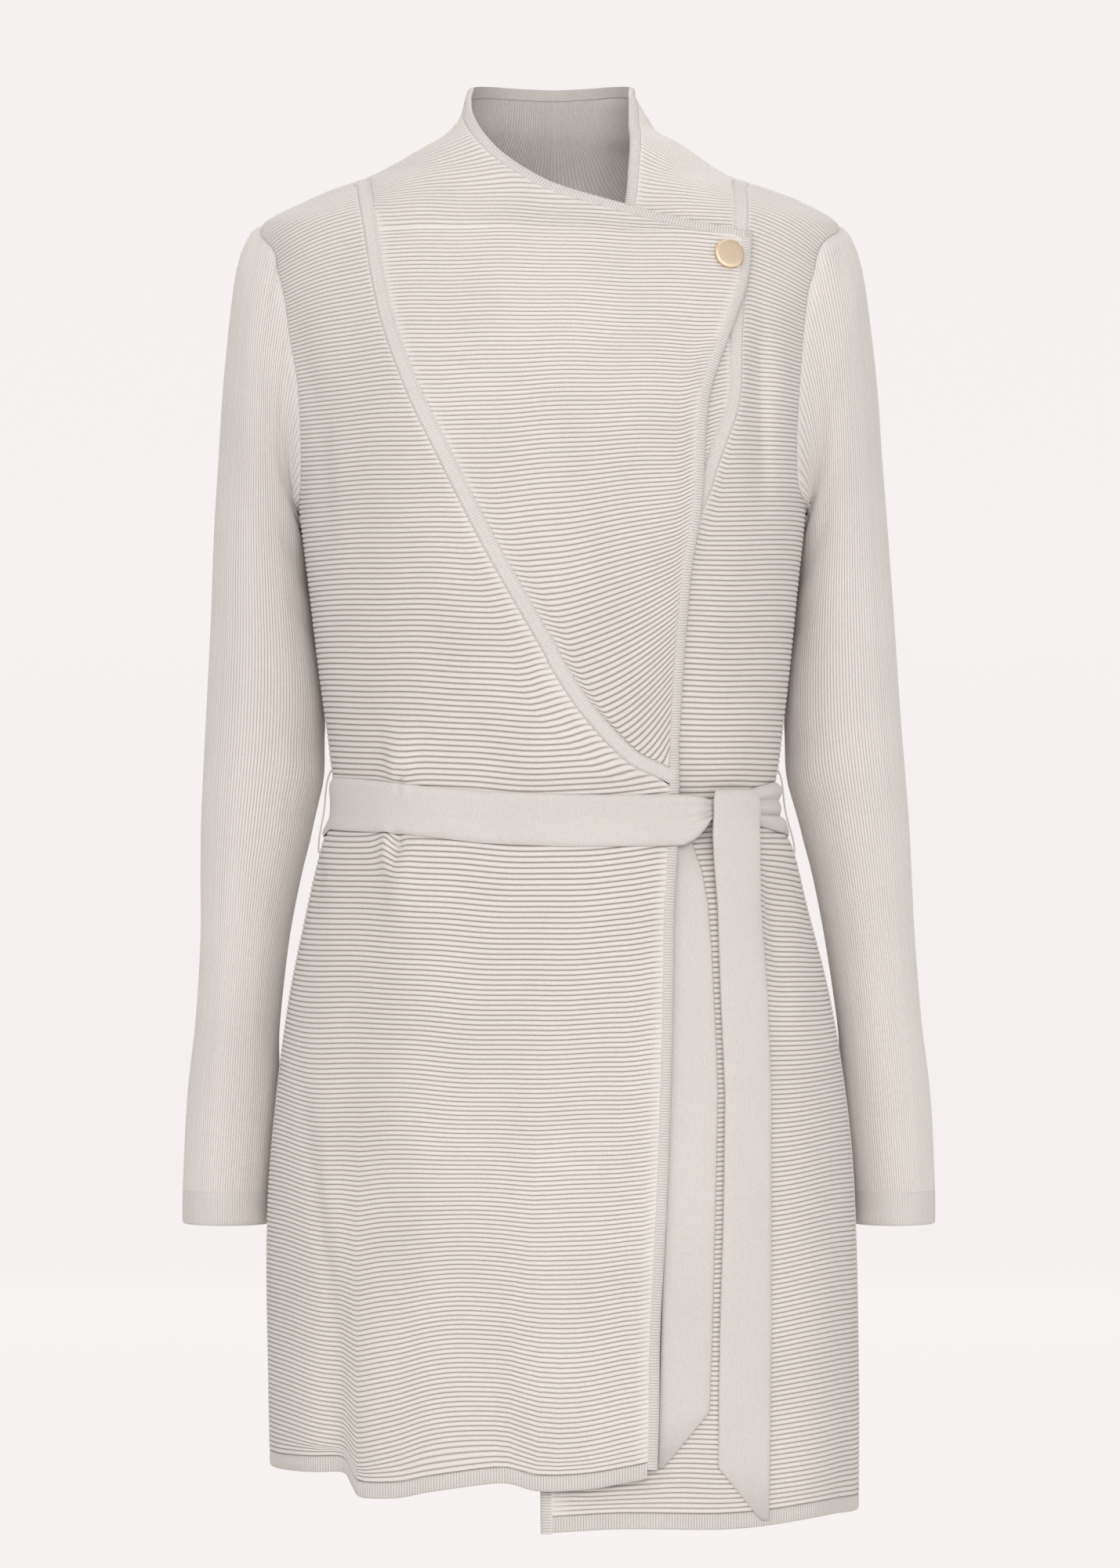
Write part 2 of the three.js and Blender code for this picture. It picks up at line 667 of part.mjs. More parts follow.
// A ribbed panel from its grid of places. Every second row is raised, the inside stays plain, with
// one row for so many of the outside and its side edges a little in from the seams.
function ribbedGeometry(rows, lift, innerEvery = 2) {
  const last = rows.length - 1;
  const outer = rows.map((row, r) => {
    const rib = r % 2 === 1 && r < last ? RIB_HEIGHT : 0;
    return row.map(({ q, z }) => surface(q, z, lift(q, z) + rib));
  });
  const inner = rows
    .filter((row, r) => r % innerEvery === 0 || r === last || sideStrays(rows, r))
    .map((row) => {
      const points = row.map(({ q, z }) => surface(q, z, lift(q, z) - WALL));
      if (innerEvery > 1) {
        pull(points[0], points[1]);
        pull(points.at(-1), points.at(-2));
      }
      return points;
    });
  return wallGeometry(outer, inner);
}

// Whether a side of the grid would leave its seam if this row were left out.
function sideStrays(rows, r) {
  return [0, -1].some((c) => {
    const [a, b, d] = [r - 1, r, r + 1].map((i) => formPoint(rows[i].at(c).q, rows[i].at(c).z));
    const chord = new THREE.Line3(a, d);
    return chord.closestPointToPoint(b, true, new THREE.Vector3()).distanceTo(b) > SEAM_STRAY;
  });
}

function pull(point, towards) {
  point.lerp(towards, INNER_EDGE_INSET / point.distanceTo(towards));
}

// A plain strip between two lines, fuller in its middle.
function stripGeometry(leftLine, rightLine, lift, wall, crown) {
  const rows = rowsBetween(leftLine, rightLine, [0, 0.5, 1]);
  const outer = rows.map((row) =>
    row.map(({ q, z }, c) => surface(q, z, lift(q, z) + (c === 1 ? crown : 0))),
  );
  const inner = rows.map((row) =>
    [row[0], row[2]].map(({ q, z }) => surface(q, z, lift(q, z) - wall)),
  );
  return wallGeometry(outer, inner);
}

// The place at a whole or part index of a line.
function sample(line, index) {
  const i = Math.min(line.length - 2, Math.floor(index));
  const t = index - i;
  return { q: mix(line[i].q, line[i + 1].q, t), z: mix(line[i].z, line[i + 1].z, t) };
}

// Everything that one front needs: its lines on the form, all cut at the same rib lines, so that
// neighbours share their rows. Lines run from the waist, or the hem, up to the centre back.
function frontLines(isRight) {
  const bandTable = isRight ? RIGHT_BAND : LEFT_BAND;
  const toBody = isRight ? 1 : -1;
  const band = refine(places(bandTable, isRight), FINE);
  const edge = refine(places(isRight ? RIGHT_EDGE : LEFT_EDGE, isRight), FINE);
  const below = refine(places(isRight ? RIGHT_EDGE_BELOW : LEFT_EDGE_BELOW, isRight), FINE);
  const bodySeam = shift(band, toBody * (BAND_WIDTH / 2 + GAP));
  const stations = [];
  for (let i = 0; i < bandTable.length - 1; i++) {
    const drop = Math.abs(bandTable[i + 1].z - bandTable[i].z);
    const parts = bandTable[i].turn === undefined ? Math.max(1, Math.round(drop / ROW)) : 1;
    for (let k = 0; k < parts; k++) stations.push(FINE * (i + k / parts));
  }
  stations.push(FINE * (bandTable.length - 1));
  const underarm = stations.findIndex((index) => sample(bodySeam, index).z > UNDERARM_Z);
  stations[underarm] = lineIndex(bodySeam, UNDERARM_Z);
  const cut = (line) => stations.map((index) => sample(line, index));
  const wholeEdge = [...below, ...edge];
  const clothEdge = shift(wholeEdge, toBody * (BINDING_WIDTH + GAP));
  const bindingInner = shift(wholeEdge, toBody * BINDING_WIDTH);
  return {
    bodySeam: cut(bodySeam),
    bandBodySide: cut(shift(band, (toBody * BAND_WIDTH) / 2)),
    bandLapelSide: cut(shift(band, (-toBody * BAND_WIDTH) / 2)),
    lapelSeam: cut(shift(band, -toBody * (BAND_WIDTH / 2 + GAP))),
    lapelEdge: cut(clothEdge.slice(below.length)),
    lapelBindingInner: cut(bindingInner.slice(below.length)),
    lapelBindingOuter: cut(edge),
    frontEdge: clothEdge,
    bindingInner,
    bindingOuter: wholeEdge,
  };
}

// The part index at which a line reaches a height.
function lineIndex(line, z) {
  const i = line.findIndex((place, k) => k > 0 && (place.z - z) * (line[k - 1].z - z) <= 0);
  return i - 1 + (z - line[i - 1].z) / (line[i].z - line[i - 1].z);
}

// Armhole lines from the shoulder tip down to the underarm, on the front or on the back.
function armholeLine(isRight, isFront) {
  const table = isFront ? (isRight ? RIGHT_ARMHOLE_FRONT : LEFT_ARMHOLE_FRONT) : ARMHOLE_BACK;
  const side = isRight ? 0 : 2;
  const behind = isRight === isFront ? SEAM_Q : -SEAM_Q;
  const middle = table.map(({ x, z }) => {
    if (isFront) return { q: frontQ(x, z), z };
    return { q: backQ(isRight ? -x - BACK_ARMHOLE_SHIFT : x, z), z };
  });
  const top = { q: side + behind, z: SHOULDER_TIP_Z };
  return [top, ...middle, { q: side + behind, z: UNDERARM_Z }];
}

const hemZ = (table, q, z) => along(table, "z", formPoint(q, z).x);

// The places of one front, in rows from its shoulder seam down to its hem band.
function frontPanelRows(lines, isRight, shares) {
  const sideQ = isRight ? SEAM_Q : 2 - SEAM_Q;
  const armhole = refine(armholeLine(isRight, true), FINE);
  const seamTop = cross(lines.bodySeam, "q", sideQ);
  const inFront = ({ q, z }) => z < seamTop.z - 1 && (isRight ? q > sideQ : q < sideQ);
  const seamLine = [seamTop, ...lines.bodySeam.filter(inFront).reverse()];
  const sideHeight = (z) => {
    if (z <= UNDERARM_Z) return z;
    return mix(SHOULDER_TIP_Z, UNDERARM_Z, (seamTop.z - z) / (seamTop.z - UNDERARM_Z));
  };
  const outerEnd = (z) => (z > UNDERARM_Z + 0.1 ? cross(armhole, "z", z) : { q: sideQ, z });
  const rows = seamLine.map((inner, i) => {
    const outer = i === 0 ? armhole[0] : outerEnd(sideHeight(inner.z));
    return shares.map((t) => ({ q: mix(outer.q, inner.q, t), z: mix(outer.z, inner.z, t) }));
  });
  const hem = isRight ? RIGHT_HEM : LEFT_HEM;
  for (const [innerZ, wave] of edgeHeights(lines, isRight)) {
    const inner = cross(lines.frontEdge, "z", innerZ);
    rows.push(
      shares.map((share) => {
        const q = mix(sideQ, inner.q, share);
        const bottom = hemZ(hem, q, HEM_LOOKUP_Z) + HEM_HEIGHT + GAP;
        return { q, z: wave > 0 ? mix(SKIRT_WAVE_Z, bottom, wave) : innerZ };
      }),
    );
  }
  return isRight ? rows : rows.map((row) => [...row].reverse());
}

// Heights of the rows at the front edge below the band, each with its share of the hem's waves.
function edgeHeights(lines, isRight) {
  const start = lines.bodySeam[0].z - BELOW_BAND;
  const hemAtEdge = isRight ? RIGHT_HEM[RIGHT_HEM.length - 1].z : LEFT_HEM[0].z;
  const end = hemAtEdge + HEM_HEIGHT + GAP;
  const level = Math.round((start - SKIRT_WAVE_Z) / ROW);
  const waved = Math.round((SKIRT_WAVE_Z - end) / ROW);
  const heights = [];
  for (let i = 0; i < level; i++) heights.push([mix(start, SKIRT_WAVE_Z, i / level), 0]);
  for (let i = 1; i <= waved; i++) heights.push([mix(SKIRT_WAVE_Z, end, i / waved), i / waved]);
  return heights;
}

// Both long sides of an edge binding, from the hem up to the centre back.
function bindingLines(lines, isRight) {
  const heights = edgeHeights(lines, isRight).map(([z]) => z).reverse();
  const below = (line) => [line[0], ...heights.map((z) => cross(line, "z", z))];
  return {
    outer: [...below(lines.bindingOuter), ...lines.lapelBindingOuter],
    inner: [...below(lines.bindingInner), ...lines.lapelBindingInner],
  };
}

// A hem band below the last row of a panel.
function hemGeometry(lastRow, hem, lift) {
  const rowOf = (height) =>
    lastRow.map(({ q, z }) => ({ q, z: hemZ(hem, q, z) + height }));
  const rows = [rowOf(HEM_HEIGHT), rowOf(0)];
  const outer = rows.map((row) => row.map(({ q, z }) => surface(q, z, lift(q, z))));
  const inner = rows.map((row) => row.map(({ q, z }) => surface(q, z, lift(q, z) - WALL)));
  return wallGeometry(outer, inner);
}

const right = frontLines(true);
const left = frontLines(false);
const rightRows = frontPanelRows(right, true, RIGHT_FRONT_SHARES);
const leftRows = frontPanelRows(left, false, evenShares(LEFT_FRONT_COLUMNS));
addPiece("right_front", ribbedGeometry(rightRows, overlapLift), "rib");
addPiece("left_front", ribbedGeometry(leftRows, noLift), "rib");
addPiece("right_hem", hemGeometry(rightRows.at(-1), RIGHT_HEM, overlapLift), "plain");
addPiece("left_hem", hemGeometry(leftRows.at(-1), LEFT_HEM, noLift), "plain");

for (const [side, lines, lift] of [
  ["right", right, overlapLift],
  ["left", left, noLift],
]) {
  const lapelRows = rowsBetween(lines.lapelSeam, lines.lapelEdge, evenShares(LAPEL_COLUMNS));
  addPiece(side + "_lapel_collar", ribbedGeometry(lapelRows, lift, 1), "rib");
  const band = stripGeometry(lines.bandBodySide, lines.bandLapelSide, lift, WALL, BAND_CROWN);
  addPiece(side + "_seam_band", band, "plain");
  const { outer, inner } = bindingLines(lines, side === "right");
  const binding = stripGeometry(outer, inner, lift, BINDING_WALL, BINDING_CROWN);
  addPiece(side + "_edge_binding", binding, "plain");
}

// The back hangs from the two shoulder seams and from the band across the yoke.
function backRows() {
  const half = (line, isRight) => {
    const ridge = isRight ? -SEAM_Q : 2 + SEAM_Q;
    const top = cross(line, "q", ridge);
    const behind = line.slice(line.length - BAND_BEHIND.length + 1, -1);
    const seamMiddle = { q: ridge, z: (top.z + SHOULDER_TIP_Z) / 2 };
    const all = [{ q: ridge, z: SHOULDER_TIP_Z }, seamMiddle, top, ...behind];
    return isRight ? all.map(({ q, z }) => ({ q: q + 4, z })).reverse() : all;
  };
  const centre = { q: 3, z: left.bodySeam.at(-1).z };
  const topRow = [...half(left.bodySeam, false), centre, ...half(right.bodySeam, true)];
  const shares = evenShares(topRow.length - 1);
  const leftArm = refine(armholeLine(false, false), FINE);
  const rightArm = refine(armholeLine(true, false), FINE);
  const upper = Math.round((SHOULDER_TIP_Z - UNDERARM_Z) / ROW);
  const rows = [];
  for (let i = 0; i < upper; i++) {
    const v = i / upper;
    const z = mix(SHOULDER_TIP_Z, UNDERARM_Z, v);
    const leftIn = i === 0 ? 0 : cross(leftArm, "z", z).q - 2 - SEAM_Q;
    const rightIn = i === 0 ? 0 : cross(rightArm, "z", z).q + SEAM_Q;
    rows.push(
      shares.map((share, c) => {
        const levelQ = mix(2 + SEAM_Q, 4 - SEAM_Q, share);
        const armholeQ = mix(leftIn, rightIn, share);
        const rise = (1 - v) * (topRow[c].z - SHOULDER_TIP_Z);
        return { q: mix(topRow[c].q, levelQ, v) + armholeQ, z: z + rise };
      }),
    );
  }
  const lower = Math.round((UNDERARM_Z - HEM_LOOKUP_Z) / ROW);
  for (let i = 0; i <= lower; i++) {
    rows.push(
      shares.map((share) => {
        const q = mix(2 + SEAM_Q, 4 - SEAM_Q, share);
        const bottom = hemZ(BACK_HEM, q, HEM_LOOKUP_Z) + HEM_HEIGHT + GAP;
        return { q, z: mix(UNDERARM_Z, bottom, i / lower) };
      }),
    );
  }
  return rows;
}
const backGrid = backRows();
addPiece("back_panel", ribbedGeometry(backGrid, noLift), "rib");
addPiece("back_hem", hemGeometry(backGrid.at(-1), BACK_HEM, noLift), "plain");

// Sleeves: the first ring is the armhole, the others are ovals between two outline points.
function armholeLoop(isRight) {
  const seam = (isFront) =>
    refine(armholeLine(isRight, isFront), FINE).map(({ q, z }) => surface(q, z, 0));
  const front = seam(true);
  const back = seam(false);
  const byLength = (points, share) => {
    const path = new THREE.CurvePath();
    for (let i = 0; i < points.length - 1; i++) {
      path.add(new THREE.LineCurve3(points[i], points[i + 1]));
    }
    return path.getPointAt(share);
  };
  const half = SLEEVE_COLUMNS / 2;
  const loop = [];
  for (let j = 0; j < SLEEVE_COLUMNS; j++) {
    const point = j <= half ? byLength(front, j / half) : byLength(back, 2 - j / half);
    if (j === 0 || j === half) point.y = 0;
    loop.push(point);
  }
  return loop;
}

function ovalRing({ outX, outZ, inX, inZ, middle, depth }) {
  return Array.from({ length: SLEEVE_COLUMNS }, (_, j) => {
    const angle = (j / SLEEVE_COLUMNS) * 2 * Math.PI;
    const t = (1 - Math.cos(angle)) / 2;
    const y = middle - depth * Math.sin(angle);
    return new THREE.Vector3(mix(outX, inX, t), y, mix(outZ, inZ, t));
  });
}

// The inner points of a tube: each ring's points moved in along the tube's own normals.
function innerTube(rings, wall) {
  return rings.map((ring, r) => {
    const sum = ring.reduce((total, point) => total.add(point), new THREE.Vector3());
    const centre = sum.divideScalar(ring.length);
    const before = rings[Math.max(0, r - 1)];
    const after = rings[Math.min(rings.length - 1, r + 1)];
    return ring.map((point, j) => {
      const next = ring[(j + 1) % ring.length];
      const previous = ring[(j - 1 + ring.length) % ring.length];
      const round = next.clone().sub(previous);
      const down = after[j].clone().sub(before[j]);
      const normal = round.cross(down).normalize();
      if (normal.dot(point.clone().sub(centre)) < 0) normal.negate();
      return point.clone().addScaledVector(normal, -wall);
    });
  });
}

for (const [side, isRight, table] of [
  ["right", true, RIGHT_SLEEVE],
  ["left", false, LEFT_SLEEVE],
]) {
  const outward = isRight ? -1 : 1;
  const loop = armholeLoop(isRight).map((p) => p.setX(p.x + outward * ARMHOLE_GAP));
  const rings = table.map((row) =>
    ovalRing(row).map((point, j) => {
      const fromArmhole = loop[j].clone();
      fromArmhole.x += (1 - row.blend) * (row.outX - table[0].outX);
      fromArmhole.x += outward * SLEEVE_CAP_FULLNESS;
      return fromArmhole.lerp(point, row.blend);
    }),
  );
  const sleeve = [loop, ...rings];
  addPiece(side + "_sleeve", wallGeometry(sleeve, innerTube(sleeve, WALL), true), "rib");
  const wrist = table[table.length - 1];
  const cuff = [CUFF_TOP_Z - GAP, (CUFF_TOP_Z + CUFF_BOTTOM_Z) / 2, CUFF_BOTTOM_Z].map((z) =>
    ovalRing({ ...wrist, outZ: z, inZ: z }),
  );
  addPiece(side + "_cuff", wallGeometry(cuff, innerTube(cuff, WALL), true), "plain");
}

// The belt goes over both fronts, so it stands out where the overlap does.
function beltOut(q, z) {
  const { x, y } = formPoint(q, z);
  if (y > 0) return BELT_CLEARANCE;
  const out = smooth01((x - LIFT_START_X) / LIFT_GROWTH);
  const backIn = smooth01((x - BELT_STEP_X) / BELT_STEP_WIDTH);
  return BELT_CLEARANCE + out * (1 - backIn) * at(LIFT, "lift", BELT_Z);
}
function beltRows() {
  return [0.5, 0.17, -0.17, -0.5].map((share) =>
    Array.from({ length: BELT_COLUMNS }, (_, c) => {
      const q = (4 * c) / BELT_COLUMNS;
      const centre = along(BELT_HEIGHTS, "z", formPoint(q, BELT_Z).x);
      return { q, z: centre + share * BELT_WIDTH };
    }),
  );
}
const beltGrid = beltRows();
const beltPoints = (thicknessOf) =>
  beltGrid.map((row, r) =>
    row.map(({ q, z }) => surface(q, z, beltOut(q, z) + thicknessOf(r))),
  );
const isBeltEdge = (r) => r === 0 || r === beltGrid.length - 1;
const beltOuter = beltPoints((r) => BELT_WALL + (isBeltEdge(r) ? 0 : BELT_CROWN));
const beltInner = beltPoints(() => 0);
addPiece("belt", wallGeometry(beltOuter, beltInner, true), "plain");

// A hanging end from its table, or the knot's pad.
function tailGeometry(table, columns, wall) {
  const rows = table.map(({ z, from, to, out }) =>
    evenShares(columns).map((t) => ({ q: frontQ(mix(from, to, t), z), z, out })),
  );
  const outer = rows.map((row) => row.map(({ q, z, out }) => surface(q, z, out)));
  const inner = rows.map((row) => row.map(({ q, z, out }) => surface(q, z, out - wall)));
  return wallGeometry(outer, inner);
}
addPiece("belt_tail_front", tailGeometry(FRONT_TAIL, TAIL_COLUMNS, TAIL_WALL), "plain");
addPiece("belt_tail_under", tailGeometry(UNDER_TAIL, TAIL_COLUMNS, TAIL_WALL), "plain");
addPiece("belt_knot", tailGeometry(KNOT, KNOT_COLUMNS, KNOT_WALL), "plain");

// Thread loops at the side seams, round the belt.
for (const [side, q, outward] of [
  ["right", 0, -1],
  ["left", 2, 1],
]) {
  const clear = LOOP_RADIUS + LOOP_CLEARANCE;
  const over = BELT_CLEARANCE + BELT_WALL + BELT_CROWN + clear;
  const points = [
    { z: BELT_Z + 28, out: clear },
    { z: BELT_Z + 22, out: over },
    { z: BELT_Z + 2, out: over },
    { z: BELT_Z - 16, out: over - 1 },
    { z: BELT_Z - 24, out: clear },
  ].map(({ z, out }) => {
    const { x } = formPoint(q, z);
    return new THREE.Vector3(x + outward * out, 0, z);
  });
  const path = new THREE.CatmullRomCurve3(points);
  const section = new THREE.Shape(
    Array.from({ length: LOOP_SIDES }, (_, i) => {
      const angle = (i / LOOP_SIDES) * 2 * Math.PI;
      return new THREE.Vector2(LOOP_RADIUS * Math.cos(angle), LOOP_RADIUS * Math.sin(angle));
    }),
  );
  const loop = new THREE.ExtrudeGeometry(section, { steps: LOOP_STEPS, extrudePath: path });
  addPiece(side + "_belt_loop", loop, "thread");
}

// The snap button sits on the overlap's corner and faces out from it.
function addButton() {
  const q = frontQ(BUTTON_X, BUTTON_Z);
  const profile = [
    [0, 0],
    [BUTTON_RADIUS - BUTTON_BEVEL, 0],
    [BUTTON_RADIUS, BUTTON_BEVEL],
    [BUTTON_RADIUS, BUTTON_THICKNESS - BUTTON_BEVEL],
    [BUTTON_RADIUS - BUTTON_BEVEL, BUTTON_THICKNESS],
    [0, BUTTON_THICKNESS],
  ].map(([r, h]) => new THREE.Vector2(r, h));
  const button = addPiece("button", new THREE.LatheGeometry(profile, BUTTON_SIDES), "gold");
  const { normal } = formSlopes(q, BUTTON_Z);
  const seat = overlapLift(q, BUTTON_Z) + RIB_HEIGHT + GAP;
  button.position.copy(surface(q, BUTTON_Z, seat));
  button.quaternion.setFromUnitVectors(new THREE.Vector3(0, 1, 0), normal);
}
addButton();

export default cardigan;
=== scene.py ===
# The looks of a long wrap cardigan in a horizontal rib knit, shaped as if worn.
# Sizes are in millimetres on the part's own axes: +Z up, the front faces -Y and the wearer's
# right is -X. They become metres where a mesh is made.
import math

import bpy
import numpy as np
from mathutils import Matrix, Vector


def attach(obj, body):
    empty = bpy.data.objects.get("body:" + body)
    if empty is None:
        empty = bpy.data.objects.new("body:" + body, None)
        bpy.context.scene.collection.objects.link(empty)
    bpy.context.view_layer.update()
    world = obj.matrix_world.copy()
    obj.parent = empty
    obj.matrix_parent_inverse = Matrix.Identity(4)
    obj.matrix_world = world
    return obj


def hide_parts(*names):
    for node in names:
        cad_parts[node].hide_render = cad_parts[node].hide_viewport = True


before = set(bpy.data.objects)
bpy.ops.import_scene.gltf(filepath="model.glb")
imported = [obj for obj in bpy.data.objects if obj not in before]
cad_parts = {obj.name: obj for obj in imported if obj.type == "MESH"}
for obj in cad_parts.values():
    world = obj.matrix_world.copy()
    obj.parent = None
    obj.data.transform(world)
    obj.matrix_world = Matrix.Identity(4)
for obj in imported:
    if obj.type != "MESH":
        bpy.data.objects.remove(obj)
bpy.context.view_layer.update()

MM = 0.001
QUARTER = math.pi / 2


def table(names, rows):
    """Rows of numbers under named columns."""
    return dict(zip(names.split(), np.array(rows, dtype=float).T))


# Driving sizes. They began as the solids' sizes. Walls, gaps, rib height, the belt and the
# armhole, hem and sleeve tables were set again here, so they differ a little from the solids.
WALL = 1.7
GAP = 0.08
BINDING_WIDTH = 6.5
BAND_WIDTH = 9
BELOW_BAND = 4
HEM_HEIGHT = 10
SHOULDER_TIP_Z = -24
SHOULDER_BAND_Z = 5
UNDERARM_Z = -205
SKIRT_WAVE_Z = -560
HEM_LOOKUP_Z = -810
BELT_Z = -392
BELT_TOP_Z = BELT_Z + 18.5
BELT_WIDTH = 33
BELT_WALL = 2.4
BELT_CLEARANCE = 1.6
TAIL_WALL = 2
BUTTON_RADIUS = 9.25
BUTTON_THICKNESS = 3
BUTTON_X = 106
BUTTON_Z = -49.2
CUFF_TOP_Z = -628
CUFF_BOTTOM_Z = -649
ARMHOLE_GAP = 0.3
SLEEVE_CAP_FULLNESS = 5
BACK_ARMHOLE_SHIFT = 2
CENTRE_BACK_TURN = 0.9999
SQUARENESS = 2.3
SEAM_Q = 0.0004
FINE = 8
SLOPE_LIMIT = 1.25
OVERLAP_START = -130
OVERLAP_FADE = 60
BACK_SPREAD = 560
BINDING_WALL = 2.4

# The knit. Each rib takes four rows: groove, flank, crest, flank, at these shares of its pitch.
# The profile sets both each row's height and the painted shade in the grooves.
RIB_PROFILE = np.array([0.0, 0.82, 1.0, 0.86])
RIB_PLACES = np.array([0.0, 0.2, 0.5, 0.8])
PARTS = len(RIB_PLACES)
RIB_HEIGHT = 0.8
# Rib pitch at which the painted groove shade has its set strength; coarser ribs get darker painted
# grooves.
SHADE_PITCH = 2.9
MIDDLE = np.array([0.45, 0.5, 0.55])
PITCH = table("z pitch", [
    (80, 2.5), (-60, 2.6), (-200, 2.9), (-300, 3.4), (-400, 3.6), (-480, 3.2), (-560, 2.95),
    (-840, 2.95),
])
COLUMN = 6.5
BACK_COLUMN = 8.5
LAPEL_RISE = 1.5
BAND_RUN_ON = 3
INNER_ROWS = 16
INNER_STEP = 8
# Colour of the plain inside faces, as a share of the way from the painted groove shade to the
# crest colour.
PLAIN_INSIDE = 0.8
SEAM_SINK = 0.3
BEND_SHARE = 0.4
# Where a front's columns are closer together: centre and reach as shares of its width, count
RIGHT_CLOSE_COLUMNS = (0.415, 0.06, 14)
LEFT_CLOSE_COLUMNS = (0.19, 0.05, 12)
SLEEVE_RIBS = 112
SLEEVE_RIB_HEIGHT = 0.5
SLEEVE_STEP = 9
SLEEVE_PITCH = 2
CAP_CROWDING = 2.2
FINE_PITCH = 1.7
FINE_HEIGHT = 0.34

# The body form: a ring at each height. right and left are half widths, front and back depths.
FORM = table("z right left front back", [
    (70, 51.5, 50, 34, 61),
    (62, 52, 50.3, 36, 62),
    (56, 54, 51, 39, 64),
    (42, 58, 59.2, 47, 68),
    (34, 64, 65, 51, 71),
    (27, 72.3, 78, 54, 74),
    (20, 86, 88.5, 57, 77),
    (12, 101.5, 99.7, 60, 80),
    (5, 116.3, 112.8, 63, 82),
    (-2, 137, 134.4, 67, 84),
    (-10, 155.5, 155, 71, 87),
    (-24, 181, 177.5, 78, 91),
    (-50, 182, 177, 90, 96),
    (-100, 176, 171, 108, 102),
    (-150, 167, 163, 121, 104),
    (-205, 158, 157, 126, 103),
    (-250, 152, 152, 122, 100),
    (-300, 146, 147, 113, 96),
    (-353, 139, 141, 103, 92),
    (-392, 136, 137, 97, 90),
    (-411, 144, 148, 99, 93),
    (-450, 153, 158, 103, 99),
    (-510, 165, 173, 108, 106),
    (-588, 174.5, 184.5, 113, 112),
    (-652, 178.3, 188.3, 116, 115),
    (-750, 177.3, 190, 119, 117),
    (-830, 175.5, 190, 121, 118),
])

# Troughs (height below 0) and ridges. side is -1 on the front and 1 on the back. Each runs from
# (x, top) to (x + lean, bottom) and is deepest where deep says, as a share of its length.
FOLDS = table("side x lean top bottom width height deep", [
    (-1, -134, 0, -610, -900, 11, -8, 0.8),
    (-1, -111, 0, -610, -900, 17, 5, 0.8),
    (-1, -34, 0, -560, -900, 26, -4, 0.8),
    (-1, 5, 0, -600, -900, 24, 3, 0.8),
    (-1, -93, 0, -325, -376, 8, 4, 0.7),
    (-1, -91, 0, -409, -480, 9, 5, 0.2),
    (-1, 127, 0, -60, -230, 8, -4, 0.4),
    (-1, 138, 0, -60, -260, 10, 2, 0.4),
    (-1, 138, 0, -409, -560, 9, -4, 0.25),
    (-1, 158, 0, -520, -900, 20, 3, 0.7),
    (1, -70, 0, -409, -620, 16, 4, 0.3),
    (1, 62, 0, -409, -600, 15, 4, 0.3),
    (1, 5, 0, -520, -900, 34, -5, 0.75),
    (1, -95, 0, -640, -900, 26, 4, 0.75),
    (1, 100, 0, -620, -900, 26, 4, 0.75),
    (1, -40, 0, -290, -376, 14, 4, 0.7),
    (1, 48, 0, -300, -376, 14, 4, 0.7),
])
# Finer creases, which only show here
CREASES = table("side x lean top bottom width height deep", [
    (-1, -163, 36, -500, -760, 4.5, -1.6, 0.5),
    (-1, -150, 22, -520, -700, 5, 0.9, 0.5),
    (-1, -91.5, 2, -345, -380, 1.8, -2.4, 0.8),
    (-1, -89, 2, -345, -384, 3, 1.2, 0.8),
    (-1, -93, 0, -398, -438, 2.6, -3.4, 0.35),
    (-1, -99, 0, -398, -436, 4.5, 4, 0.35),
    (-1, -143, -4, -405, -470, 3, -1.5, 0.4),
    (-1, 131, 8, -405, -500, 3, -1.8, 0.35),
    (-1, 129, 3, -60, -240, 3, -1.6, 0.4),
    (-1, -161, 18, -66, -160, 5, -1.3, 0.65),
    (-1, -142, 5, -130, -262, 6.5, -1.9, 0.35),
    (-1, -133, 5, -130, -275, 8, 1.2, 0.4),
    (-1, 142, -20, -130, -220, 9, -1.5, 0.5),
    (-1, 90, -60, -230, -350, 12, 1.2, 0.5),
    (-1, -20, 60, -250, -350, 16, -1.0, 0.5),
    (-1, -60, -20, -560, -790, 14, 1.2, 0.6),
    (-1, 45, -8, -480, -780, 12, -1.2, 0.6),
    (1, -120, 24, -130, -240, 12, -2, 0.5),
    (1, 120, -24, -130, -240, 12, -2, 0.5),
    (1, -30, 12, -330, -380, 5, -2, 0.8),
    (1, 70, -8, -330, -380, 5, -2, 0.8),
    (1, -100, 10, -405, -470, 5, -2, 0.2),
    (1, 20, -8, -405, -480, 5, -2, 0.2),
    (1, 110, -10, -405, -460, 5, -2, 0.2),
    (1, -130, 20, -560, -800, 14, -1.5, 0.6),
    (1, 50, 14, -560, -800, 14, 1.5, 0.6),
])

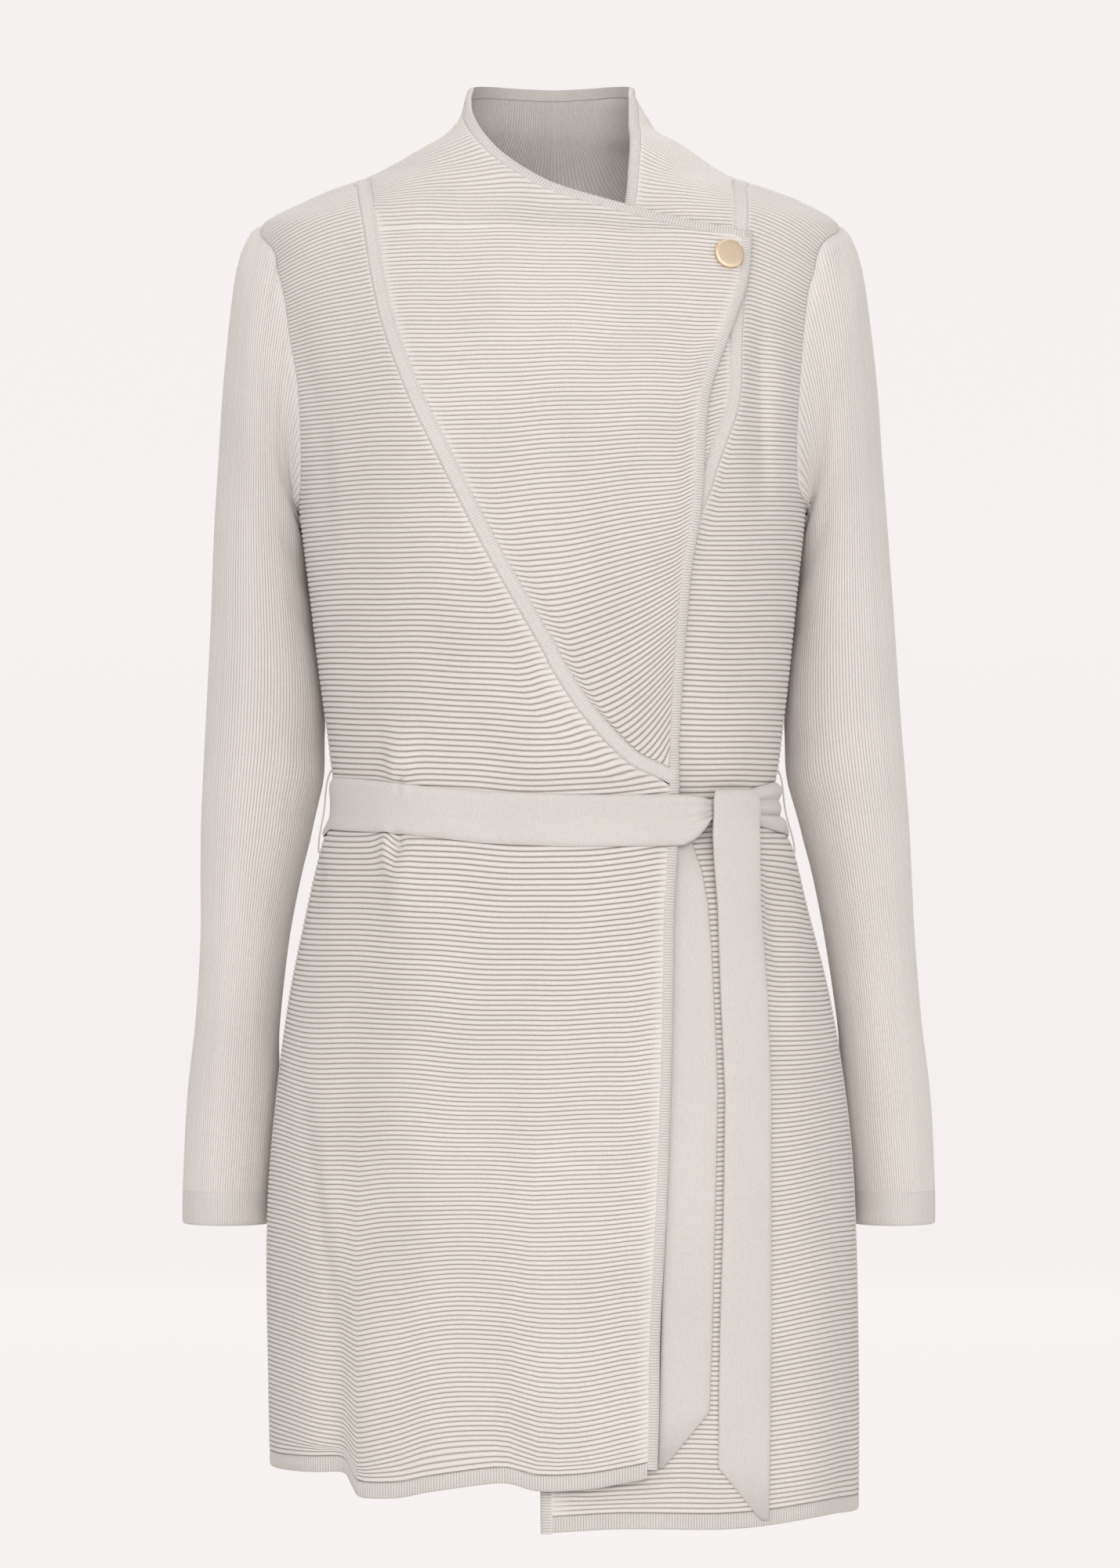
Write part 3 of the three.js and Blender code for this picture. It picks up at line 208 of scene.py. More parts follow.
# The lapels' rib lines: a row of a band table and the same row of its edge table are the ends
# of one rib line. turn counts from the shoulder ridge to the centre back, or is -1 on the front.
BAND_BEHIND = [
    (0, SHOULDER_BAND_Z, 0), (0, -0.5, 0.37), (0, -7, 0.5), (0, -14, 0.64), (0, -22, 0.82),
    (0, -26, CENTRE_BACK_TURN),
]
EDGE_BEHIND = [(0, 66, 0.25), (0, 67.5, 0.5), (0, 67.5, 0.77), (0, 67, CENTRE_BACK_TURN)]
RIGHT_BAND = [
    (65, -364), (45, -353), (16, -320), (-12, -272), (-41, -220), (-70, -162), (-84, -133),
    (-99, -94), (-107, -62), (-112, -32), (-113.3, -25), (-114.5, -18), (-115.5, -12),
    (-116.5, -7), (-117.5, -1),
]
RIGHT_EDGE = [
    (75.5, -352), (77, -325), (79.5, -285), (83, -243), (89.7, -200), (92.5, -152),
    (96.7, -127), (107, -98), (118, -66), (121.5, -34), (80, -26.5), (42, -17), (0, -4),
    (-22, 9), (-39, 24.5), (-49, 45), (-51, 62),
]
RIGHT_EDGE_CORNER = 9
RIGHT_EDGE_BELOW = [
    (62.5, -790), (63.5, -750), (64, -706), (68, -630), (70.3, -563), (71.8, -494),
    (72.3, -453), (74.4, -411), (75, -375),
]
LEFT_BAND = [
    (-2, -352), (24, -325), (52, -280), (74, -235), (91, -196), (98, -174), (104, -158),
    (110, -141), (112, -125), (112.4, -99), (113.5, -75), (115, -52), (115.5, -32), (116, -18),
    (116, -8), (115.5, -1),
]
LEFT_EDGE = [
    (-16, -341), (-17, -318), (-19, -272), (-21.5, -232), (-23.5, -196), (-24, -176),
    (-23.5, -160), (-22, -142), (-5, -123), (12, -100), (24, -76), (33, -50), (40, -30),
    (44, -15), (46.3, 5), (48, 24.5), (48.3, 45), (49.6, 62),
]
LEFT_EDGE_CORNER = 7
LEFT_EDGE_BELOW = [
    (-7.6, -829), (-9, -706), (-10.5, -630), (-11.5, -563), (-12.5, -494), (-13.5, -430),
    (-15, -375),
]
RIGHT_ARMHOLE_FRONT = [
    (-175, -39), (-170.5, -54), (-166, -72), (-162.3, -99), (-158, -124), (-156.3, -153),
    (-156, -178), (-157, -194),
]
LEFT_ARMHOLE_FRONT = [
    (168, -36), (161, -56), (157, -70), (153.5, -103), (151, -136), (150, -168), (152, -190),
]
ARMHOLE_BACK = [(173, -44), (166, -70), (159, -100), (153, -140), (150, -175), (153, -194)]

RIGHT_HEM = table("x z", [
    (-180, -797.5), (-150, -796), (-132, -795.5), (-123, -802.5), (-116, -808.5), (-93, -808),
    (-72, -803.5), (-31, -798), (-9, -802.5), (20, -801.5), (42, -798), (57, -795),
    (62.5, -790),
])
LEFT_HEM = table("x z", [
    (-7.6, -828.5), (42, -826.3), (100, -827.8), (130, -826.7), (157, -823.9), (175, -822.9),
    (190, -824.5),
])
BACK_HEM = table("x z", [(-178, -798), (-95, -806), (5, -808), (100, -818), (191, -824.5)])

# Sleeve rings below the armhole: outer and inner x and z from the front, how far the ring's middle
# lies behind mid depth, half depth, and how far the ring has left the armhole's outline.
SLEEVE_NAMES = "out_x out_z in_x in_z middle depth blend"
RIGHT_SLEEVE = table(SLEEVE_NAMES, [
    (-192, -33, -160.5, -207, 10, 61, 0.4),
    (-201.5, -62, -160, -212, 13, 59, 0.75),
    (-206.3, -118, -156.5, -222, 20, 56, 1),
    (-209.8, -165, -153.5, -250, 27, 53, 1),
    (-213, -215, -148.5, -285, 30, 50, 1),
    (-215, -270, -144.5, -320, 30, 47, 1),
    (-218, -330, -144.5, -360, 30, 44, 1),
    (-221, -392, -151.5, -400, 30, 41, 1),
    (-221.5, -430, -159, -430, 30, 39, 1),
    (-221.5, -470, -166.5, -470, 30, 37, 1),
    (-224.5, -520, -172, -520, 30, 36, 1),
    (-230, -570, -173, -570, 32, 35, 1),
    (-233, CUFF_TOP_Z, -177.5, CUFF_TOP_Z, 34, 34, 1),
])
LEFT_SLEEVE = table(SLEEVE_NAMES, [
    (185.5, -33, 159.5, -207, 10, 61, 0.4),
    (196, -62, 159, -212, 13, 59, 0.75),
    (202.3, -118, 156, -222, 20, 56, 1),
    (206, -165, 153.5, -250, 27, 53, 1),
    (210, -215, 149, -285, 30, 50, 1),
    (214, -270, 146, -320, 30, 47, 1),
    (218, -330, 146.5, -360, 30, 44, 1),
    (223, -392, 155.5, -400, 30, 41, 1),
    (225, -430, 163.5, -430, 30, 39, 1),
    (227, -470, 171.2, -470, 30, 37, 1),
    (231, -520, 178.5, -520, 30, 36, 1),
    (237, -570, 181.5, -570, 32, 35, 1),
    (240, CUFF_TOP_Z, 187.5, CUFF_TOP_Z, 34, 34, 1),
])

# How far the rib rows are drawn down (or up, below 0) from level, in millimetres. Each place is a
# soft bump about x (which leans to x + lean at the bottom), strongest where deep says.
DRAWN_DOWN = table("side x lean top bottom width drop deep", [
    (-1, -150, 22, -450, -860, 24, 8.5, 0.75),
    (-1, -62, 0, -560, -860, 30, -3.2, 0.75),
    (-1, -176, 10, -440, -700, 16, -4, 0.5),
    (-1, 10, 0, -560, -860, 40, 1.8, 0.8),
    (-1, -101, 0, -390, -438, 7, -2.6, 0.4),
    (-1, -92, 0, -390, -438, 4.5, 2, 0.4),
    (-1, 160, 8, -396, -500, 15, 7, 0.3),
    (-1, 184, 6, -470, -860, 34, -6, 0.35),
    (-1, 128, 0, -404, -560, 9, -3, 0.3),
    (-1, -90, 0, -310, -420, 10, 2.5, 0.6),
    (-1, -12, 0, -170, -720, 62, 6.5, 0.42),
    (-1, 90, 0, -60, -300, 26, 2.5, 0.4),
    (1, -70, 0, -404, -620, 24, 4, 0.3),
    (1, 62, 0, -404, -600, 24, 4, 0.3),
    (1, 5, 0, -520, -860, 40, -4, 0.75),
    (1, 0, 0, -60, -376, 70, 3, 0.7),
])

# How far the overlap stands off the form, over the underlap and the belt's under end.
LIFT = table("z lift", [(100, 5.2), (-340, 5.2), (-385, 8.4), (-900, 8.4)])

# The belt's edges and bulk over x on the front: it narrows into the knot and comes out bunched.
BELT_FRONT = table("x top bottom out", [
    (-150, -367.5, -400.5, 0), (-100, -370, -404, 0), (-40, -375.5, -410, 0),
    (10, -377.5, -412, 0), (60, -377.5, -411.8, 0.3), (71, -377.5, -411.5, 0.6),
    (79, -378, -408, 1.2), (86, -379, -402.5, 1.9), (92, -381, -397, 2.5), (97, -384, -394, 2.8),
    (108, -380, -398, 2), (124, -374, -400, 1.2), (134, -371, -404, 1), (150, -372, -404, 0),
])
FRONT_TAIL = table("z start end out", [
    (-375, 96, 117, 9), (-376.5, 94.5, 118.5, 11), (-382, 93.5, 119.5, 11.6),
    (-406, 93.8, 121, 11.2), (-422, 96, 123, 8), (-450, 99.5, 125.5, 5),
    (-504, 101.5, 130, 4), (-563, 104, 132, 4), (-635, 103, 132.3, 4), (-706, 101, 132.5, 4),
    (-750, 100.5, 132, 4), (-790, 100.3, 131.2, 4), (-806, 113, 130.8, 4),
    (-822.5, 126, 130.5, 4),
])
UNDER_TAIL = table("z start end out", [
    (-408, 60, 84, 3.4), (-426, 62, 90.3, 3.4), (-446, 63.5, 94, 3.4), (-473, 64.5, 96, 3.4),
    (-535, 67, 98.9, 3.4), (-563, 68, 99.8, 3.4), (-635, 67, 98.5, 3.4),
    (-706, 65.5, 96.9, 3.4), (-756, 64, 95, 3.4), (-789, 63.5, 67, 3.4),
])


def smooth01(t):
    t = np.clip(t, 0, 1)
    return t * t * (3 - 2 * t)


def mix(a, b, t):
    return a + (b - a) * t


def unit(v):
    return v / np.maximum(np.linalg.norm(v, axis=-1, keepdims=True), 1e-9)


def smooth_between(a, slope_a, b, slope_b, t):
    """From a to b as t goes from 0 to 1, leaving and arriving at the given slopes."""
    return (
        (2 * t**3 - 3 * t**2 + 1) * a
        + (t**3 - 2 * t**2 + t) * slope_a
        + (3 * t**2 - 2 * t**3) * b
        + (t**3 - t**2) * slope_b
    )


def path_length(points):
    """How far along a path of points each one lies."""
    return np.concatenate([[0], np.cumsum(np.linalg.norm(np.diff(points, axis=0), axis=1))])


def every(step, count):
    """Every so many of count places, with the last one always."""
    return np.unique(np.append(np.arange(0, count, step), count - 1))


def at(rows, name, z):
    """A column at heights z, smooth between rows that run down in z."""
    z = np.asarray(z, dtype=float)
    heights, values = rows["z"], rows[name]
    last = len(heights) - 1
    i = np.searchsorted(-heights[1:-1], -z)
    before = np.maximum(i - 1, 0)
    after = np.minimum(i + 2, last)
    span = heights[i + 1] - heights[i]
    t = np.clip((z - heights[i]) / span, 0, 1)
    slope_a = (values[i + 1] - values[before]) / (heights[i + 1] - heights[before]) * span
    slope_b = (values[after] - values[i]) / (heights[after] - heights[i]) * span
    return smooth_between(values[i], slope_a, values[i + 1], slope_b, t)


def along(rows, name, x):
    return np.interp(x, rows["x"], rows[name])


def form_point(q, z):
    """A point of the bare form. q: 0 right side, 1 front, 2 left side, 3 back."""
    q, z = np.broadcast_arrays(np.asarray(q, dtype=float), np.asarray(z, dtype=float))
    c = np.cos(q * QUARTER)
    s = np.sin(q * QUARTER)
    half_width = np.where(c > 0, at(FORM, "right", z), at(FORM, "left", z))
    depth = np.where(s > 0, at(FORM, "front", z), at(FORM, "back", z))
    x = -half_width * np.sign(c) * np.abs(c) ** (2 / SQUARENESS)
    y = -depth * np.sign(s) * np.abs(s) ** (2 / SQUARENESS)
    return np.stack([x, y, z], axis=-1)


def form_slopes(q, z):
    step = 0.01
    along_q = (form_point(q + step, z) - form_point(q - step, z)) / (2 * step)
    along_z = (form_point(q, z + 1) - form_point(q, z - 1)) / 2
    return along_q, along_z, unit(np.cross(along_q, along_z))


def add_bumps(total, rows, point):
    """The total with the rows' long soft bumps added at each point."""
    x, y, z = np.moveaxis(point, -1, 0)
    for side, start, lean, top, bottom, width, size, deep in zip(*rows.values()):
        down = (top - z) / (top - bottom)
        here = (np.sign(y) == side) & (down > 0) & (down < 1)
        rise = smooth01(down / deep) * smooth01((1 - down) / (1 - deep))
        across = (x - start - lean * down) / width
        total = total + np.where(here, size * rise * np.exp(-across * across), 0)
    return total


def fold_height(point):
    return add_bumps(add_bumps(np.zeros(point.shape[:-1]), FOLDS, point), CREASES, point)


def surface(q, z, out):
    point = form_point(q, z)
    normal = form_slopes(np.asarray(q, float), np.asarray(z, float))[2]
    return point + normal * (out + fold_height(point))[..., None]


def front_q(x, z):
    """Quarter turns at which the form's front has this x."""
    x, z = np.broadcast_arrays(np.asarray(x, dtype=float), np.asarray(z, dtype=float))
    half_width = np.where(x < 0, at(FORM, "right", z), at(FORM, "left", z))
    c = np.minimum(1, np.abs(x) / half_width) ** (SQUARENESS / 2)
    q = np.maximum(np.arccos(c) / QUARTER, SEAM_Q)
    return np.where(x < 0, q, 2 - q)


def back_q(x, z):
    return np.where(np.asarray(x) < 0, -front_q(x, z), 4 - front_q(x, z))


def places(rows, is_right, behind=(), corner=None):
    """A line of (q, z) places through table rows, smooth in x and z on the front."""
    front = refine(rows, corner)
    front = np.stack([front_q(front[:, 0], front[:, 1]), front[:, 1]], axis=-1)
    if not behind:
        return front
    back = [((-turn if is_right else 2 + turn), z) for _, z, turn in behind]
    return np.vstack([front, refine(np.vstack([front[-1], back]))[1:]])


def slope_at(before, here, after):
    """A line's slope at a place, short enough not to swing past its neighbours."""
    slope = (after - before) / 2
    shortest = min(np.linalg.norm(here - before), np.linalg.norm(after - here))
    return slope * min(1, SLOPE_LIMIT * shortest / max(np.linalg.norm(slope), 1e-9))


def refine(line, corner=None):
    """More points between the places of a line, smooth but at its corner."""
    line = np.array(line, dtype=float)
    result = []
    for i in range(len(line) - 1):
        a, b = line[i], line[i + 1]
        open_a = i == 0 or i == corner
        open_b = i + 2 == len(line) or i + 1 == corner
        slope_a = b - a if open_a else slope_at(line[i - 1], a, b)
        slope_b = b - a if open_b else slope_at(a, b, line[i + 2])
        result += [smooth_between(a, slope_a, b, slope_b, k / FINE) for k in range(FINE)]
    result.append(line[-1])
    return np.array(result)


def shift(line, distance):
    """The line moved sideways on the form, to the left of its direction seen from outside."""
    q, z = line[:, 0], line[:, 1]
    along_q, along_z, normal = form_slopes(q, z)
    steps = np.diff(form_point(q, z), axis=0)
    before = unit(np.cross(normal[1:], steps))
    after = unit(np.cross(normal[:-1], steps))
    first = np.vstack([after[:1], before])
    last = np.vstack([after, before[-1:]])
    move = (first + last) * (distance / (1 + np.sum(first * last, axis=1)))[:, None]
    qq = np.sum(along_q * along_q, axis=1)
    qz = np.sum(along_q * along_z, axis=1)
    zz = np.sum(along_z * along_z, axis=1)
    move_q = np.sum(move * along_q, axis=1)
    move_z = np.sum(move * along_z, axis=1)
    det = qq * zz - qz * qz
    return np.stack(
        [q + (move_q * zz - move_z * qz) / det, z + (move_z * qq - move_q * qz) / det], axis=1
    )


def sample(line, index):
    """Places at whole or part indices of a line."""
    known = np.arange(len(line))
    return np.stack([np.interp(index, known, line[:, k]) for k in (0, 1)], axis=-1)


def crossing(line, column, value):
    """The part index at which a line first reaches a value of q (0) or z (1)."""
    d = line[:, column] - value
    i = int(np.argmax(d[:-1] * d[1:] <= 0))
    return i + d[i] / (d[i] - d[i + 1])


def on_overlap(x):
    """0 near the right side, rising to 1 where the overlap lies over the underlap."""
    return smooth01((x - OVERLAP_START) / OVERLAP_FADE)


def overlap_lift(q, z):
    x = form_point(q, z)[..., 0]
    return at(LIFT, "lift", z) * on_overlap(x) * smooth01(np.asarray(q) / 0.5)


def no_lift(q, z):
    return np.zeros(np.broadcast(q, z).shape)


# Materials


def nodes_of(material):
    material.use_nodes = True
    tree = material.node_tree
    tree.nodes.clear()
    output = tree.nodes.new("ShaderNodeOutputMaterial")
    shader = tree.nodes.new("ShaderNodeBsdfPrincipled")
    tree.links.new(shader.outputs["BSDF"], output.inputs["Surface"])
    return tree, shader


def add_node(tree, kind, **inputs):
    node = tree.nodes.new(kind)
    for name, value in inputs.items():
        node.inputs[name.replace("_", " ")].default_value = value
    return node


def map_range(tree, source, to_min, to_max, from_min=0, from_max=1):
    node = tree.nodes.new("ShaderNodeMapRange")
    ends = {"From Min": from_min, "From Max": from_max, "To Min": to_min, "To Max": to_max}
    for end, value in ends.items():
        node.inputs[end].default_value = value
    tree.links.new(source, node.inputs["Value"])
    return node.outputs["Result"]


def knit_material(name, crest, painted_groove_shade, yarn_scale, stitch, stitch_depth):
    """Matte knit with painted shade in its grooves, a little uneven in colour, with fine stitches
    in bump.
    """
    material = bpy.data.materials.new(name)
    tree, shader = nodes_of(material)
    link = tree.links.new
    shader.inputs["Roughness"].default_value = 0.92
    shader.inputs["Specular IOR Level"].default_value = 0.25
    shader.inputs["Sheen Weight"].default_value = 0.25
    shader.inputs["Sheen Roughness"].default_value = 0.45

    # The relief attribute is 1 on the rib crests and lower in the grooves, where it mixes in the
    # painted groove shade.
    relief = tree.nodes.new("ShaderNodeAttribute")
    relief.attribute_name = "relief"
    colour = tree.nodes.new("ShaderNodeMix")
    colour.data_type = "RGBA"
    colour.inputs["A"].default_value = (*painted_groove_shade, 1)
    colour.inputs["B"].default_value = (*crest, 1)
    link(relief.outputs["Fac"], colour.inputs["Factor"])

    place = tree.nodes.new("ShaderNodeTexCoord")
    broad = add_node(tree, "ShaderNodeTexNoise", Scale=14.0, Detail=3.0)
    yarn = add_node(tree, "ShaderNodeTexNoise", Scale=yarn_scale, Detail=2.0)
    link(place.outputs["Object"], broad.inputs["Vector"])
    link(place.outputs["Object"], yarn.inputs["Vector"])
    both = tree.nodes.new("ShaderNodeMath")
    both.operation = "MULTIPLY"
    link(map_range(tree, broad.outputs["Fac"], 0.965, 1.02, 0.3, 0.7), both.inputs[0])
    link(map_range(tree, yarn.outputs["Fac"], 0.96, 1.03, 0.35, 0.65), both.inputs[1])
    tinted = tree.nodes.new("ShaderNodeVectorMath")
    tinted.operation = "SCALE"
    link(colour.outputs["Result"], tinted.inputs[0])
    link(both.outputs["Value"], tinted.inputs["Scale"])
    link(tinted.outputs["Vector"], shader.inputs["Base Color"])

    stitches = tree.nodes.new("ShaderNodeTexWave")
    stitches.wave_type = "BANDS"
    stitches.bands_direction = "X"
    stitches.inputs["Scale"].default_value = stitch
    stitches.inputs["Distortion"].default_value = 0.6
    stitches.inputs["Detail"].default_value = 1.0
    link(place.outputs["UV"], stitches.inputs["Vector"])
    fine = tree.nodes.new("ShaderNodeBump")
    fine.inputs["Strength"].default_value = stitch_depth
    fine.inputs["Distance"].default_value = 0.0003
    link(stitches.outputs["Fac"], fine.inputs["Height"])
    fuzz = tree.nodes.new("ShaderNodeBump")
    fuzz.inputs["Strength"].default_value = 0.35
    fuzz.inputs["Distance"].default_value = 0.0003
    link(yarn.outputs["Fac"], fuzz.inputs["Height"])
    link(fine.outputs["Normal"], fuzz.inputs["Normal"])
    link(fuzz.outputs["Normal"], shader.inputs["Normal"])
    return material


def metal_material(name, colour, roughness):
    material = bpy.data.materials.new(name)
    tree, shader = nodes_of(material)
    link = tree.links.new
    shader.inputs["Metallic"].default_value = 1
    place = tree.nodes.new("ShaderNodeTexCoord")
    grain = add_node(tree, "ShaderNodeTexNoise", Scale=900.0, Detail=3.0)
    link(place.outputs["Object"], grain.inputs["Vector"])
    rough = map_range(tree, grain.outputs["Fac"], roughness - 0.06, roughness + 0.08)
    link(rough, shader.inputs["Roughness"])
    tone = tree.nodes.new("ShaderNodeMix")
    tone.data_type = "RGBA"
    tone.inputs["A"].default_value = (*[c * 0.94 for c in colour], 1)
    tone.inputs["B"].default_value = (*colour, 1)
    link(grain.outputs["Fac"], tone.inputs["Factor"])
    link(tone.outputs["Result"], shader.inputs["Base Color"])
    return material


# Each knit's first colour is its crest colour; the second is painted shade for its grooves.
RIB_KNIT = knit_material("rib knit", (0.76, 0.725, 0.695), (0.42, 0.365, 0.325), 900.0, 5.0, 0.35)
SLEEVE_KNIT = knit_material("sleeve knit", (0.75, 0.71, 0.68), (0.48, 0.44, 0.41), 900.0, 5.0, 0.3)
PLAIN_KNIT = knit_material("plain knit", (0.68, 0.64, 0.61), (0.56, 0.52, 0.49), 800.0, 4.2, 0.6)
TRIM_KNIT = knit_material("trim knit", (0.71, 0.675, 0.645), (0.45, 0.41, 0.38), 800.0, 6.5, 0.4)
THREAD = knit_material("thread", (0.74, 0.71, 0.68), (0.60, 0.57, 0.54), 1500.0, 8.0, 0.3)
GOLD = metal_material("pale gold", (0.93, 0.74, 0.53), 0.42)


# Meshes


def add_object(name, data):
    obj = bpy.data.objects.new(name, data)
    bpy.context.collection.objects.link(obj)
    return obj


def zip_rims(points, outer_line, inner_line):
    """Triangles between two rims with different numbers of points."""
    faces = []
    i = j = 0
    a = points[outer_line]
    b = points[inner_line]
    while i < len(a) - 1 or j < len(b) - 1:
        outer_next = np.sum((a[i + 1] - b[j]) ** 2) if i + 1 < len(a) else np.inf
        inner_next = np.sum((a[i] - b[j + 1]) ** 2) if j + 1 < len(b) else np.inf
        if outer_next <= inner_next:
            faces.append((outer_line[i + 1], outer_line[i], inner_line[j]))
            i += 1
        else:
            faces.append((outer_line[i], inner_line[j], inner_line[j + 1]))
            j += 1
    return faces


def skin(ids):
    a, b = ids[:-1, :-1], ids[1:, :-1]
    c, d = ids[1:, 1:], ids[:-1, 1:]
    return np.stack([a, b, c, d], axis=-1).reshape(-1, 4)


def wall(name, outer, inner, material, shade=None, inner_shade=PLAIN_INSIDE, wrapped=False):
    """A closed wall between a grid of outer points and a coarser one of inner points."""
    count = outer.shape[0] * outer.shape[1]
    outer_ids = np.arange(count).reshape(outer.shape[:2])
    inner_ids = count + np.arange(inner.shape[0] * inner.shape[1]).reshape(inner.shape[:2])
    points = np.vstack([outer.reshape(-1, 3), inner.reshape(-1, 3)])
    if wrapped:
        outer_ids = np.hstack([outer_ids, outer_ids[:, :1]])
        inner_ids = np.hstack([inner_ids, inner_ids[:, :1]])
    rims = [(outer_ids[-1], inner_ids[-1]), (outer_ids[0][::-1], inner_ids[0][::-1])]
    if not wrapped:
        rims += [(outer_ids[:, 0], inner_ids[:, 0])]
        rims += [(outer_ids[::-1, -1], inner_ids[::-1, -1])]
    faces = skin(outer_ids).tolist() + skin(inner_ids)[:, ::-1].tolist()
    for outer_rim, inner_rim in rims:
        faces += zip_rims(points, outer_rim.tolist(), inner_rim.tolist())
    r, c = outer.shape[0] // 2, outer.shape[1] // 2
    facing = np.cross(outer[r + 1, c] - outer[r, c], outer[r, c + 1] - outer[r, c])
    probe = inner.reshape(-1, 3)
    nearest = probe[np.argmin(np.sum((probe - outer[r, c]) ** 2, axis=1))]
    if np.dot(facing, outer[r, c] - nearest) < 0:
        faces = [face[::-1] for face in faces]

    mesh = bpy.data.meshes.new(name)
    mesh.from_pydata((points * MM).tolist(), [], faces)
    mesh.shade_smooth()
    mesh.set_sharp_from_angle(angle=math.radians(70))
    # The relief attribute carries the painted groove shade: 1 where none is painted.
    shades = np.ones(len(points))
    if shade is not None:
        shades[:count] = np.broadcast_to(shade, outer.shape[:2]).reshape(-1)
    shades[count:] = np.broadcast_to(inner_shade, inner.shape[:2]).reshape(-1)
    mesh.attributes.new("relief", "FLOAT", "POINT").data.foreach_set("value", shades)
    add_uv(mesh, outer, inner)
    mesh.materials.append(material)
    obj = add_object(name, mesh)
    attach(obj, "root")
    return obj


def add_uv(mesh, outer, inner):
    """A UV map in centimetres, along the rows and across them, for the stitches."""
    flat = []
    for grid in (outer, inner):
        row = grid[grid.shape[0] // 2]
        column = grid[:, grid.shape[1] // 2]
        across_and_down = np.meshgrid(path_length(row), path_length(column))
        flat.append(np.stack(across_and_down, axis=-1).reshape(-1, 2) / 10)
    uv = np.vstack(flat)
    corners = np.empty(len(mesh.loops), dtype=np.int32)
    mesh.loops.foreach_get("vertex_index", corners)
    layer = mesh.uv_layers.new(name="knit")
    layer.data.foreach_set("uv", uv[corners].reshape(-1))


def spaced(low, high, step):
    return np.linspace(low, high, max(2, int(round(abs(high - low) / step)) + 1))


def by_phase(values, points, pitch_of, rows=None):
    """Values at the parts of each rib along a path of points, with each one's place in its rib.

    rows are the directions of the ribs themselves, which don't count towards the distance."""
    steps = np.diff(points, axis=0)
    if rows is not None:
        level = unit(rows[1:] + rows[:-1])
        steps = steps - level * np.sum(steps * level, axis=1, keepdims=True)
    middle = (points[1:] + points[:-1]) / 2
    sizes = np.linalg.norm(steps, axis=1) / pitch_of(middle)
    phase = np.concatenate([[0], np.cumsum(sizes)])
    ribs = max(1, int(round(phase[-1])))
    wanted = (np.arange(ribs)[:, None] + RIB_PLACES).reshape(-1)
    wanted = np.append(wanted, ribs) * phase[-1] / ribs
    return np.interp(wanted, phase, values), np.arange(ribs * PARTS + 1) % PARTS


def rib_pitch(points):
    return np.interp(-points[..., 2], -PITCH["z"], PITCH["pitch"])


def rib_rows(grid, last):
    """Where a panel's rib rows lie, as parts of 0 to last, counted down its middle."""
    dense = np.linspace(0, last, 3000)
    near = form_point(*grid(dense, MIDDLE))
    return by_phase(dense, near[:, 1], rib_pitch, near[:, 2] - near[:, 0])


def fine_rows(line, count):
    """Where a strip's fine ribs lie, as part indices of its line."""
    dense = np.linspace(0, len(line) - 1, count)
    path = sample(line, dense)
    return by_phase(dense, form_point(path[:, 0], path[:, 1]), lambda points: FINE_PITCH)


def drawn_down(q, z):
    """How far the rows hang below level, with a little unevenness all over."""
    point = form_point(q, z)
    x = point[..., 0]
    drop = 0.45 * np.sin(x / 19 + z / 67) + 0.3 * np.sin(x / 8.5 - z / 41 + 1)
    return add_bumps(drop, DRAWN_DOWN, point)


def ribbed(name, q, z, phases, lift, height=RIB_HEIGHT, both_faces=False):
    """A ribbed panel from its grid of places. The ribs sink into the seams at both sides."""
    edge = np.minimum(np.arange(q.shape[1]), np.arange(q.shape[1])[::-1])
    sink = np.clip(edge, SEAM_SINK, 1)
    profile = RIB_PROFILE[phases][:, None]
    relief = profile * sink[None, :] * rib_pitch(form_point(q, z)) / PITCH["pitch"][0]
    # Painted shade in the grooves, stronger where the ribs are coarser.
    painted_shade_strength = rib_pitch(form_point(q, z)) / SHADE_PITCH
    shade = 1 - sink[None, :] * (1 - profile) * painted_shade_strength
    ends = np.minimum(np.arange(q.shape[0]), np.arange(q.shape[0])[::-1])
    free = smooth01(edge / 3)[None, :] * smooth01(ends / 20)[:, None]
    z = z - free * drawn_down(q, z)
    outer = surface(q, z, lift(q, z) + height * relief)
    keep = every(INNER_ROWS, q.shape[0])
    if both_faces:
        inner = surface(q, z, lift(q, z) - WALL - 0.6 * height * relief)
        # The inner face gets only half the painted groove shade, painted lighter so the inside of
        # the collar looks better lit.
        return wall(name, outer, inner, RIB_KNIT, shade, 0.5 + 0.5 * shade)
    inner = surface(q[keep], z[keep], lift(q[keep], z[keep]) - WALL)
    return wall(name, outer, inner, RIB_KNIT, shade)


